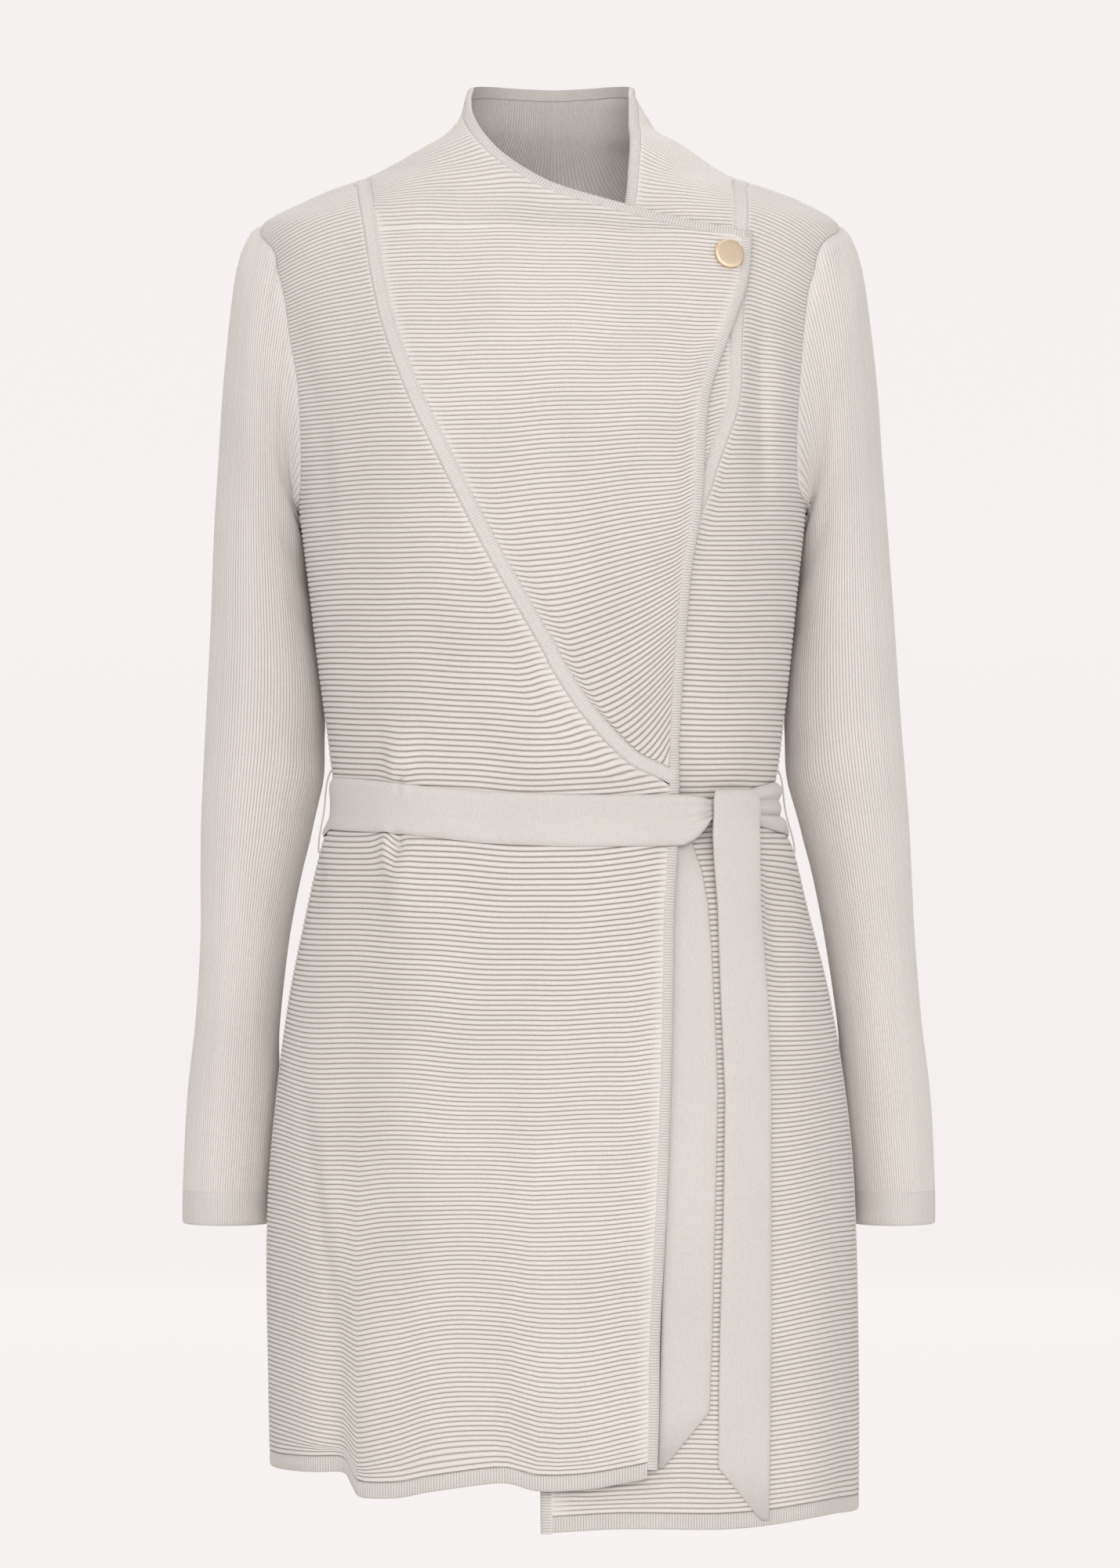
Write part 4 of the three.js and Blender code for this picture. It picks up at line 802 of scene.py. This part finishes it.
class Side:
    """The lines of one front on the form, from the waist, or the hem, up to the centre back."""

    def __init__(self, is_right):
        self.is_right = is_right
        self.name = "right" if is_right else "left"
        self.lift = overlap_lift if is_right else no_lift
        to_body = 1 if is_right else -1
        band_rows = RIGHT_BAND if is_right else LEFT_BAND
        edge_rows = RIGHT_EDGE if is_right else LEFT_EDGE
        below_rows = RIGHT_EDGE_BELOW if is_right else LEFT_EDGE_BELOW
        corner = RIGHT_EDGE_CORNER if is_right else LEFT_EDGE_CORNER
        band = places(band_rows, is_right, BAND_BEHIND)
        edge = places(edge_rows, is_right, EDGE_BEHIND, corner)
        below = places(below_rows, is_right)
        whole = np.vstack([below, edge])
        self.below = len(below)
        self.body_seam = shift(band, to_body * (BAND_WIDTH / 2 + GAP))
        self.band_body_side = shift(band, to_body * BAND_WIDTH / 2)
        self.band_lapel_side = shift(band, -to_body * BAND_WIDTH / 2)
        self.lapel_seam = shift(band, -to_body * (BAND_WIDTH / 2 + GAP))
        self.front_edge = shift(whole, to_body * (BINDING_WIDTH + GAP))
        self.binding_inner = shift(whole, to_body * BINDING_WIDTH)
        self.binding_outer = whole
        end = -CENTRE_BACK_TURN if self.is_right else 2 + CENTRE_BACK_TURN
        for line in (self.body_seam, self.band_body_side, self.band_lapel_side, self.lapel_seam,
                     self.front_edge, self.binding_inner, self.binding_outer):
            line[:, 0] = np.maximum(line[:, 0], end) if is_right else np.minimum(line[:, 0], end)
            line[-1, 0] = end
        self.lapel_edge = self.front_edge[self.below :]


def armhole_line(is_right, is_front):
    rows = ARMHOLE_BACK
    if is_front:
        rows = RIGHT_ARMHOLE_FRONT if is_right else LEFT_ARMHOLE_FRONT
    side = 0 if is_right else 2
    behind = SEAM_Q if is_right == is_front else -SEAM_Q
    middle = []
    for x, z in rows:
        if is_front:
            middle.append((float(front_q(x, z)), z))
        else:
            middle.append((float(back_q(-x - BACK_ARMHOLE_SHIFT if is_right else x, z)), z))
    ends = [(side + behind, SHOULDER_TIP_Z)], [(side + behind, UNDERARM_Z)]
    return refine(ends[0] + middle + ends[1])


def hem_z(rows, q, z):
    line = refine(np.stack([rows["x"], rows["z"]], axis=-1))
    return np.interp(form_point(q, z)[..., 0], line[:, 0], line[:, 1])


def front_panel(side):
    """A front, in rib rows from its shoulder seam down to its hem band.

    Its columns are closer together at its sharpest fold."""
    right = side.is_right
    side_q = SEAM_Q if right else 2 - SEAM_Q
    armhole = armhole_line(right, True)[::-1]
    seam = side.body_seam
    top_index = crossing(seam, 0, side_q)
    top = sample(seam, top_index)
    start = seam[0, 1] - BELOW_BAND
    hem = RIGHT_HEM if right else LEFT_HEM
    end = (hem["z"][-1] if right else hem["z"][0]) + HEM_HEIGHT + GAP
    below = side.front_edge[: side.below + FINE]

    def grid(p, shares):
        """Places of the rows at p: 0 to 1 beside the band, 1 to 2 below it, 2 to 3 the skirt."""
        inner = sample(seam, top_index * (1 - np.clip(p, 0, 1)))
        edge_z = mix(start, end, np.clip(p - 2, 0, 1))
        edge_q = np.interp(edge_z, below[:, 1], below[:, 0])
        slide = np.clip(p - 1, 0, 1)
        inner_q = mix(inner[:, 0], edge_q, slide)
        inner_z = np.where(p < 2, mix(inner[:, 1], start, slide), edge_z)
        share_down = (top[1] - inner_z) / (top[1] - UNDERARM_Z)
        high = inner_z > UNDERARM_Z
        outer_z = inner_z - (top[1] - SHOULDER_TIP_Z) * np.clip(1 - share_down, 0, 1) ** 2
        on_armhole = np.interp(outer_z, armhole[:, 1], armhole[:, 0])
        outer_q = np.where(high, on_armhole, side_q)
        q = mix(outer_q[:, None], inner_q[:, None], shares)
        z = mix(outer_z[:, None], inner_z[:, None], shares)
        wave = np.clip((SKIRT_WAVE_Z - inner_z) / (SKIRT_WAVE_Z - end), 0, 1)[:, None]
        bottom = hem_z(hem, q, HEM_LOOKUP_Z) + HEM_HEIGHT + GAP
        z = np.where(wave > 0, mix(SKIRT_WAVE_Z, bottom, wave), z)
        return q, z

    p, phases = rib_rows(grid, 3)
    widest = form_point(*grid(np.array([3.0]), np.linspace(0, 1, 60)))[0]
    width = np.sum(np.linalg.norm(np.diff(widest, axis=0), axis=1))
    centre, reach, count = RIGHT_CLOSE_COLUMNS if right else LEFT_CLOSE_COLUMNS
    shares = np.linspace(0, 1, int(width / COLUMN))
    close = np.linspace(centre - reach, centre + reach, count)
    outside = np.abs(shares - centre) > reach + BEND_SHARE * COLUMN / width
    q, z = grid(p, np.sort(np.append(shares[outside], close)))
    if not right:
        q, z = q[:, ::-1], z[:, ::-1]
    panel = ribbed(side.name + "_front_knit", q, z, phases, side.lift)
    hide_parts(side.name + "_front")
    return panel, q[-1]


def hem_band(name, q_row, rows, lift, replaced):
    """A narrow band of fine upright ribs below a panel."""
    ends = np.linspace(q_row[0], q_row[-1], 400)
    z_ends = hem_z(rows, ends, HEM_LOOKUP_Z)
    path = form_point(ends, z_ends)
    q, phases = by_phase(ends, path, lambda points: FINE_PITCH)
    heights = np.array([HEM_HEIGHT, HEM_HEIGHT - 1, HEM_HEIGHT * 0.5, 1.2, 0.3, 0])
    shape = np.array([-0.3, 0.25, 0.35, 0.3, -0.1, -0.9])
    base = hem_z(rows, q, HEM_LOOKUP_Z)
    z = base[None, :] + heights[:, None]
    q = np.broadcast_to(q, z.shape)
    relief = RIB_PROFILE[phases][None, :] * np.array([0.3, 1, 1, 1, 0.8, 0.3])[:, None]
    outer = surface(q, z, lift(q, z) + shape[:, None] + FINE_HEIGHT * relief)
    keep = every(INNER_STEP, q.shape[1])
    inner_q, inner_z = q[[0, -1]][:, keep], z[[0, -1]][:, keep]
    inner = surface(inner_q, inner_z, lift(inner_q, inner_z) - WALL)
    # The rib relief also sets the painted shade in the grooves.
    band = wall(name, outer, inner, TRIM_KNIT, relief)
    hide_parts(replaced)
    return band


def strip(name, left, right, index, phases, lift, shape, relief_share, thickness, height):
    """A sewn strip between two lines, with fine cross ribs and a rounded section."""
    shares = np.linspace(0, 1, len(shape))
    a, b = sample(left, index), sample(right, index)
    q = mix(a[:, :1], b[:, :1], shares)
    z = mix(a[:, 1:], b[:, 1:], shares)
    relief = RIB_PROFILE[phases][:, None] * np.array(relief_share)[None, :]
    outer = surface(q, z, lift(q, z) + np.array(shape)[None, :] + height * relief)
    keep = every(INNER_STEP, len(index))
    inner_q, inner_z = q[keep][:, [0, -1]], z[keep][:, [0, -1]]
    inner = surface(inner_q, inner_z, lift(inner_q, inner_z) - thickness)
    # Painted shade in the grooves of the cross ribs.
    colour = 1 - np.array(relief_share)[None, :] * (1 - RIB_PROFILE[phases][:, None])
    return wall(name, outer, inner, TRIM_KNIT, colour)


def lapel(side):
    """A lapel and its half of the collar, in rib rows from the band to the edge."""
    lines = run_on(side.lapel_seam, 1), run_on(side.lapel_edge, 1)
    shares = np.linspace(0, 1, 30)

    def grid(index, at_shares):
        a, b = sample(lines[0], index), sample(lines[1], index)
        q = mix(a[:, :1], b[:, :1], at_shares)
        return q, mix(a[:, 1:], b[:, 1:], at_shares**LAPEL_RISE)

    index, phases = rib_rows(grid, len(lines[0]) - 1)
    q, z = grid(index, shares)
    piece = ribbed(side.name + "_lapel_knit", q, z, phases, side.lift, both_faces=True)
    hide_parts(side.name + "_lapel_collar")
    return piece


def run_on(line, steps):
    """The line with a few more places before its first, straight on."""
    step = line[0] - line[1]
    return np.vstack([line[0] + step * np.arange(steps, 0, -1)[:, None], line])


def seam_band(side):
    body_side = run_on(side.band_body_side, BAND_RUN_ON)
    lapel_side = run_on(side.band_lapel_side, BAND_RUN_ON)
    index, phases = fine_rows(body_side, 2000)
    shape = [0.1, 0.6, 0.3, 0.4, 0.45, 0.4, 0.3, 0.6, 0.1]
    shares = [0.4, 1, 0.3, 0.5, 0.5, 0.5, 0.3, 1, 0.4]
    band = strip(
        side.name + "_band_knit", body_side, lapel_side, index, phases,
        side.lift, shape, shares, WALL, FINE_HEIGHT,
    )
    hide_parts(side.name + "_seam_band")
    return band


def edge_binding(side):
    index, phases = fine_rows(side.binding_outer, 4000)
    shape = [-1.3, -0.1, 0.4, 0.5, 0.5, 0.45, 0.15]
    shares = [0.4, 1, 1, 1, 1, 1, 0.3]
    binding = strip(
        side.name + "_binding_knit", side.binding_outer, side.binding_inner, index, phases,
        side.lift, shape, shares, BINDING_WALL, FINE_HEIGHT,
    )
    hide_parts(side.name + "_edge_binding")
    return binding


def back_panel(left, right):
    """The back, in rib rows from the shoulder seams and the yoke band down to the hem."""

    def half(side):
        line = side.body_seam
        ridge = -SEAM_Q if side.is_right else 2 + SEAM_Q
        top = sample(line, crossing(line, 0, ridge))
        behind = line[int(crossing(line, 0, ridge)) + 1 : -1]
        seam = [(ridge, mix(SHOULDER_TIP_Z, top[1], t)) for t in np.linspace(0, 1, 6)]
        whole = np.vstack([seam, behind])
        return (whole + [4, 0])[::-1] if side.is_right else whole

    centre = [(3.0, left.body_seam[-1, 1])]
    line = np.vstack([half(left), centre, half(right)])
    length = path_length(form_point(line[:, 0], line[:, 1]))
    arms = [armhole_line(is_right, False)[::-1] for is_right in (False, True)]
    count = int(BACK_SPREAD / BACK_COLUMN)
    shares = np.linspace(0, 1, count)
    top_q = np.interp(shares * length[-1], length, line[:, 0])
    top_z = np.interp(shares * length[-1], length, line[:, 1])
    level_q = mix(2 + SEAM_Q, 4 - SEAM_Q, shares)

    def grid(p):
        """Places of the rows at p: 0 to 1 beside the armholes, 1 to 2 below them."""
        v = np.clip(p, 0, 1)
        base = mix(SHOULDER_TIP_Z, UNDERARM_Z, v)
        left_in = np.interp(base, arms[0][:, 1], arms[0][:, 0]) - 2 - SEAM_Q
        right_in = np.interp(base, arms[1][:, 1], arms[1][:, 0]) + SEAM_Q
        pull = mix(left_in[:, None], right_in[:, None], shares)
        q = mix(top_q[None, :], level_q[None, :], v[:, None]) + pull
        z = base[:, None] + (1 - v[:, None]) * (top_z[None, :] - SHOULDER_TIP_Z)
        bottom = hem_z(BACK_HEM, level_q, HEM_LOOKUP_Z) + HEM_HEIGHT + GAP
        down = np.clip(p - 1, 0, 1)[:, None]
        return q, z + down * (bottom[None, :] - UNDERARM_Z)

    dense = np.linspace(0, 2, 2500)
    q, z = grid(dense)
    middle = form_point(q[:, count // 2], z[:, count // 2])
    p, phases = by_phase(dense, middle, rib_pitch)
    q, z = grid(p)
    panel = ribbed("back_knit", q, z, phases, no_lift)
    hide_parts("back_panel")
    return panel, q[-1]


def round_turns(columns):
    """Shares of a full turn for the columns of a ribbed tube, whose ribs are even."""
    ribs = columns // PARTS
    return ((np.arange(ribs)[:, None] + RIB_PLACES) / ribs).reshape(-1)


def armhole_loop(is_right, columns):
    """Points round an armhole, from the shoulder tip by the front to the underarm and back."""
    halves = []
    for is_front in (True, False):
        line = armhole_line(is_right, is_front)
        points = surface(line[:, 0], line[:, 1], 0)
        length = path_length(points)
        half_turn = np.append(round_turns(columns)[: columns // 2], 0.5)
        if not is_front:
            half_turn = 1 - np.append(round_turns(columns)[columns // 2 :], 1)[::-1]
        wanted = (half_turn * 2) ** CAP_CROWDING * length[-1]
        halves.append(np.stack([np.interp(wanted, length, points[:, k]) for k in range(3)], 1))
    front, back = halves
    front[[0, -1], 1] = 0
    return np.vstack([front, back[-2:0:-1]])


def oval_ring(out_x, out_z, in_x, in_z, middle, depth, columns):
    angle = round_turns(columns) * 2 * math.pi
    t = (1 - np.cos(angle)) / 2
    y = middle - depth * np.sin(angle)
    return np.stack([mix(out_x, in_x, t), y, mix(out_z, in_z, t)], axis=-1)


def tube_normals(rings):
    round_it = np.roll(rings, -1, axis=1) - np.roll(rings, 1, axis=1)
    down = np.gradient(rings, axis=0)
    normal = unit(np.cross(round_it, down))
    centre = rings.mean(axis=1, keepdims=True)
    inward = np.sum(normal * (rings - centre), axis=-1, keepdims=True) < 0
    return np.where(inward, -normal, normal)


# Creases across a sleeve: place along it (0 to 1) and round it (0 outer, 0.25 front, 0.5 inner),
# how it leans, its width and length as shares, and its height in millimetres.
SLEEVE_CREASES = table("down turn lean width length height", [
    (0.12, 0.36, 0.10, 0.020, 0.10, -1.6), (0.17, 0.38, 0.16, 0.022, 0.10, 1.2),
    (0.22, 0.36, 0.20, 0.020, 0.11, -1.4), (0.30, 0.42, 0.15, 0.020, 0.10, -1.2),
    (0.47, 0.38, -0.10, 0.022, 0.14, -1.4), (0.51, 0.42, 0.06, 0.022, 0.12, 1.2),
    (0.56, 0.36, 0.12, 0.022, 0.12, -1.4), (0.53, 0.70, 0.05, 0.022, 0.14, -1.6),
    (0.49, 0.72, -0.05, 0.022, 0.13, 1.4), (0.15, 0.66, -0.12, 0.022, 0.12, -1.6),
    (0.24, 0.64, -0.14, 0.022, 0.12, -1.2), (0.70, 0.30, 0.10, 0.03, 0.14, -0.8),
    (0.82, 0.60, -0.10, 0.03, 0.14, -0.9),
])


def sleeve(is_right):
    rows = RIGHT_SLEEVE if is_right else LEFT_SLEEVE
    name = "right" if is_right else "left"
    outward = -1 if is_right else 1
    columns = SLEEVE_RIBS * PARTS
    loop = armhole_loop(is_right, columns)
    loop[:, 0] += outward * ARMHOLE_GAP
    rings = [loop]
    for out_x, out_z, in_x, in_z, middle, depth, blend in zip(*rows.values()):
        ring = oval_ring(out_x, out_z, in_x, in_z, middle, depth, columns)
        from_armhole = loop.copy()
        from_armhole[:, 0] += (1 - blend) * (out_x - rows["out_x"][0])
        from_armhole[:, 0] += outward * SLEEVE_CAP_FULLNESS
        rings.append(mix(from_armhole, ring, blend))
    rings = np.array(rings)

    length = path_length(rings.mean(axis=1))
    wanted = spaced(0, length[-1], SLEEVE_STEP)
    i = np.clip(np.searchsorted(length, wanted, side="right") - 1, 0, len(length) - 2)
    t = ((wanted - length[i]) / (length[i + 1] - length[i]))[:, None, None]
    before, after = np.maximum(i - 1, 0), np.minimum(i + 2, len(length) - 1)
    slope_a = (rings[i + 1] - rings[before]) / (i + 1 - before)[:, None, None]
    slope_b = (rings[after] - rings[i]) / (after - i)[:, None, None]
    fine = smooth_between(rings[i], slope_a, rings[i + 1], slope_b, t)
    normal = tube_normals(fine)
    down = (wanted / length[-1])[:, None]
    turn = round_turns(columns)[None, :]
    folds = np.zeros(fine.shape[:2])
    for place, around, lean, width, reach, height in zip(*SLEEVE_CREASES.values()):
        side = (turn - around + 0.5) % 1 - 0.5
        off = (down - place - lean * side) / width
        folds += height * np.exp(-off * off) * np.exp(-((side / reach) ** 2))
    relief = np.broadcast_to(RIB_PROFILE[np.arange(columns) % PARTS], folds.shape)
    pair = np.roll(fine, -PARTS, axis=1) - np.roll(fine, PARTS, axis=1)
    apart = np.linalg.norm(pair, axis=2) / 2
    fade = np.clip(apart / SLEEVE_PITCH, 0, 1) * np.clip(wanted / 6, 0.3, 1)[:, None]
    outer = fine + normal * (folds + SLEEVE_RIB_HEIGHT * relief * fade)[..., None]
    inner = (fine + normal * (folds - WALL)[..., None])[:, ::PARTS]
    # Painted shade in the rib grooves, weaker where the ribs crowd together.
    shade = 1 - fade * (1 - relief)
    tube = wall(name + "_sleeve_knit", outer, inner, SLEEVE_KNIT, shade, wrapped=True)
    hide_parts(name + "_sleeve")

    wrist = [rows[key][-1] for key in ("out_x", "in_x", "middle", "depth")]
    heights = np.array([CUFF_TOP_Z - 0.05, -630, -636, -642, -646.5, -648.6, CUFF_BOTTOM_Z])
    shape = np.array([0.05, 0.2, 0.35, 0.3, 0.35, 0.0, -0.8])
    cuff = np.array([oval_ring(wrist[0], z, wrist[1], z, *wrist[2:], columns) for z in heights])
    normal = tube_normals(cuff)
    relief = np.broadcast_to(RIB_PROFILE[np.arange(columns) % PARTS], cuff.shape[:2])
    outer = cuff + normal * (shape[:, None] + 0.25 * relief)[..., None]
    inner = (cuff - normal * WALL)[[0, 3, 6]][:, ::8]
    # The cuff's ribs get painted shade in their grooves.
    band = wall(name + "_cuff_knit", outer, inner, TRIM_KNIT, 0.4 + 0.6 * relief, wrapped=True)
    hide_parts(name + "_cuff")
    return tube, band


def belt_round():
    """The belt over both fronts: it narrows into the knot and comes out of it bunched."""
    columns = 360
    q = np.arange(columns) * 4 / columns
    middle = form_point(q, BELT_Z)
    x, y = middle[:, 0], middle[:, 1]
    front = smooth01(-y / 25)
    top = mix(BELT_TOP_Z, along(BELT_FRONT, "top", x), front)
    bottom = mix(BELT_TOP_Z - BELT_WIDTH, along(BELT_FRONT, "bottom", x), front)
    bulk = front * along(BELT_FRONT, "out", x)
    step_out = on_overlap(x) * (1 - smooth01((x - 84) / 13))
    out = BELT_CLEARANCE + np.where(y < 0, step_out * at(LIFT, "lift", BELT_Z), 0)
    shares = np.concatenate([[0, 0.015, 0.05], np.linspace(0.1, 0.9, 25), [0.95, 0.985, 1]])
    round_edge = 2.5 * (1 - np.abs(2 * shares - 1) ** 14)
    z = mix(top[None, :], bottom[None, :], shares[:, None])
    z = z + 0.5 * np.sin(x / 17)[None, :] * np.sin(shares * math.pi * 2)[:, None]
    beyond = front * smooth01((x - 108) / 12)
    humps = np.abs(np.sin(shares * math.pi * 3))[:, None] * beyond[None, :] * 2.6
    into = front * smooth01((x - 62) / 30) * (1 - smooth01((x - 98) / 6))
    humps = humps + np.sin(shares * math.pi * 7)[:, None] * into[None, :] * 0.55
    ripple = 0.35 * np.sin(x / 9 + 1.3)[None, :] * np.sin(shares * math.pi)[:, None]
    qs = np.broadcast_to(q, z.shape)
    outer = surface(qs, z, (out + bulk)[None, :] + round_edge[:, None] + humps + ripple)
    keep = [0, len(shares) // 2, len(shares) - 1]
    inner = surface(qs[keep], z[keep], np.broadcast_to(out, (3, columns)))
    piece = wall("belt_round", outer, inner, PLAIN_KNIT, wrapped=True)
    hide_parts("belt")
    return piece


def belt_end(name, rows, replaced, wave):
    """A hanging end: a flat double strip with softly rounded edges."""
    z = np.concatenate([spaced(a, b, 4)[:-1] for a, b in zip(rows["z"], rows["z"][1:])])
    z = np.append(z, rows["z"][-1])
    start, end, out = (np.interp(-z, -rows["z"], rows[key]) for key in ("start", "end", "out"))
    shares = np.array([0, 0.02, 0.08, 0.2, 0.35, 0.5, 0.65, 0.8, 0.92, 0.98, 1])
    edge = np.array([-1.1, -0.35, 0, 0.15, 0.2, 0.2, 0.2, 0.15, 0, -0.35, -1.1])
    x = mix(start[:, None], end[:, None], shares)
    q = front_q(x, z[:, None])
    zs = np.broadcast_to(z[:, None], x.shape)
    hang = smooth01((rows["z"][0] - z) / 120)
    sway = wave * hang * np.sin((rows["z"][0] - z) / 95)
    curl = 0.5 * hang[:, None] * np.sin((rows["z"][0] - z) / 60)[:, None] * (shares - 0.5) * 2
    outer = surface(q, zs, out[:, None] + edge[None, :] + sway[:, None] + curl)
    inner = surface(q, zs, out[:, None] - TAIL_WALL + sway[:, None] + curl)[:, [0, 3, 5, 7, 10]]
    piece = wall(name, outer, inner, PLAIN_KNIT)
    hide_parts(*replaced)
    return piece


def thread_loop(name, q, outward, replaced):
    clear = 1.1
    over = BELT_CLEARANCE + BELT_WALL + 0.7 + clear
    points = [(28, clear), (22, over), (2, over), (-16, over - 1), (-24, clear)]
    curve = bpy.data.curves.new(name, "CURVE")
    curve.dimensions = "3D"
    curve.bevel_depth = 0.55 * MM
    curve.bevel_resolution = 3
    spline = curve.splines.new("NURBS")
    spline.points.add(len(points) - 1)
    spline.use_endpoint_u = True
    spline.order_u = 4
    for point, (dz, out) in zip(spline.points, points):
        z = BELT_Z + dz
        x = float(form_point(q, z)[0]) + outward * out
        point.co = (x * MM, 0, z * MM, 1)
    curve.materials.append(THREAD)
    obj = add_object(name, curve)
    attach(obj, "root")
    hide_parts(replaced)
    return obj


def snap_button():
    """A turned disc with a bevelled rim."""
    sides = 96
    r = BUTTON_RADIUS
    h = BUTTON_THICKNESS
    profile = [
        (0, h), (r * 0.5, h), (r * 0.8, h - 0.04), (r * 0.9, h - 0.1),
        (r * 0.94, h - 0.2), (r * 0.975, h - 0.5), (r, h - 1.1), (r, 0.8),
        (r * 0.97, 0.25), (r * 0.9, 0), (0, 0),
    ]
    q = float(front_q(BUTTON_X, BUTTON_Z))
    seat = surface(q, BUTTON_Z, overlap_lift(q, BUTTON_Z) + RIB_HEIGHT + 0.3)
    normal = Vector(form_slopes(np.float64(q), np.float64(BUTTON_Z))[2])
    turn = Vector((0, 0, 1)).rotation_difference(normal)
    points, faces = [], []
    for radius, height in profile[1:-1]:
        for k in range(sides):
            angle = 2 * math.pi * k / sides
            local = Vector((radius * math.cos(angle), radius * math.sin(angle), height))
            points.append((Vector(seat) + turn @ local) * MM)
    rings = len(profile) - 2
    for i in range(rings - 1):
        for k in range(sides):
            n = (k + 1) % sides
            faces.append((i * sides + k, (i + 1) * sides + k, (i + 1) * sides + n, i * sides + n))
    faces.append(tuple(range(sides)))
    faces.append(tuple(reversed(range((rings - 1) * sides, rings * sides))))
    mesh = bpy.data.meshes.new("snap_button")
    mesh.from_pydata(points, [], faces)
    mesh.shade_smooth()
    mesh.set_sharp_from_angle(angle=math.radians(50))
    mesh.materials.append(GOLD)
    obj = add_object("snap_button", mesh)
    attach(obj, "root")
    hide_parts("button")
    return obj


right, left = Side(True), Side(False)
right_front, right_row = front_panel(right)
left_front, left_row = front_panel(left)
back, back_row = back_panel(left, right)
right_hem = hem_band("right_hem_knit", right_row, RIGHT_HEM, overlap_lift, "right_hem")
left_hem = hem_band("left_hem_knit", left_row, LEFT_HEM, no_lift, "left_hem")
back_hem = hem_band("back_hem_knit", back_row, BACK_HEM, no_lift, "back_hem")
right_lapel, left_lapel = lapel(right), lapel(left)
right_band, left_band = seam_band(right), seam_band(left)
right_binding, left_binding = edge_binding(right), edge_binding(left)
right_sleeve, right_cuff = sleeve(True)
left_sleeve, left_cuff = sleeve(False)
belt = belt_round()
front_end = belt_end("belt_end_front", FRONT_TAIL, ["belt_tail_front", "belt_knot"], 0.8)
under_end = belt_end("belt_end_under", UNDER_TAIL, ["belt_tail_under"], 0.3)
thread_loop("right_thread_loop", 0, -1, "right_belt_loop")
thread_loop("left_thread_loop", 2, 1, "left_belt_loop")
snap_button()


# Stage, light and camera

STUDIO_LIGHT = (1.0, 0.99, 0.98)


def area_light(name, place, aim, size, power):
    data = bpy.data.lights.new(name, "AREA")
    data.shape = "RECTANGLE"
    data.size, data.size_y = size
    data.energy = power
    data.color = STUDIO_LIGHT
    obj = add_object(name, data)
    obj.location = place
    obj.rotation_euler = (Vector(aim) - Vector(place)).to_track_quat("-Z", "Y").to_euler()
    return obj


def sweep():
    """A pale floor that curves up into a backdrop, far enough back to clear a camera there."""
    floor_z, back_y, radius, half = -1.25, 9.0, 1.2, 9.0
    profile = [(-back_y, floor_z), (back_y - radius, floor_z)]
    for k in range(1, 17):
        angle = k / 16 * QUARTER
        profile.append(
            (back_y - radius + radius * math.sin(angle), floor_z + radius * (1 - math.cos(angle)))
        )
    profile.append((back_y, 5.0))
    points = [(x, y, z) for y, z in profile for x in (-half, half)]
    faces = [(2 * i, 2 * i + 1, 2 * i + 3, 2 * i + 2) for i in range(len(profile) - 1)]
    mesh = bpy.data.meshes.new("floor")
    mesh.from_pydata(points, [], faces)
    mesh.shade_smooth()
    material = bpy.data.materials.new("pale floor")
    tree, shader = nodes_of(material)
    shader.inputs["Base Color"].default_value = (0.22, 0.216, 0.214, 1)
    shader.inputs["Roughness"].default_value = 0.9
    shader.inputs["Emission Color"].default_value = (0.905, 0.875, 0.868, 1)
    place = tree.nodes.new("ShaderNodeTexCoord")
    split = tree.nodes.new("ShaderNodeSeparateXYZ")
    tree.links.new(place.outputs["Object"], split.inputs["Vector"])
    glow = map_range(tree, split.outputs["Y"], 0.732, 0.828, 1.0, 4.0)
    tree.links.new(glow, shader.inputs["Emission Strength"])
    mesh.materials.append(material)
    obj = add_object("floor", mesh)


sweep()
area_light("key", (-2.0, -3.4, 2.3), (0, 0, -0.35), (2.2, 2.2), 36)
area_light("fill", (2.8, -2.8, 0.2), (0, 0, -0.4), (2.4, 2.4), 18)
area_light("front", (0.2, -5.2, 1.2), (0, 0, -0.1), (2.4, 1.6), 116)
area_light("top", (0, -0.4, 3.2), (0, 0, -0.2), (2.5, 2.0), 26)
area_light("back", (0, 2.0, 1.6), (0, 0, -0.3), (3.0, 1.2), 26)

world = bpy.data.worlds.new("studio")
bpy.context.scene.world = world
world.use_nodes = True
world.node_tree.nodes["Background"].inputs["Color"].default_value = (1.0, 0.99, 0.985, 1)
world.node_tree.nodes["Background"].inputs["Strength"].default_value = 0.43

PHOTO_HEIGHT = 2001
SCALE = 0.49
DISTANCE = 4500
camera_data = bpy.data.cameras.new("camera")
camera_data.sensor_width = 36
camera_data.lens = 36 * DISTANCE / (PHOTO_HEIGHT * SCALE)
camera_data.clip_end = 50
camera = add_object("camera", camera_data)
camera.location = (4.2 * MM, -DISTANCE * MM, -372.6 * MM)
camera.rotation_euler = (math.pi / 2, 0, 0)
bpy.context.scene.camera = camera
bpy.context.scene.view_settings.view_transform = "Standard"
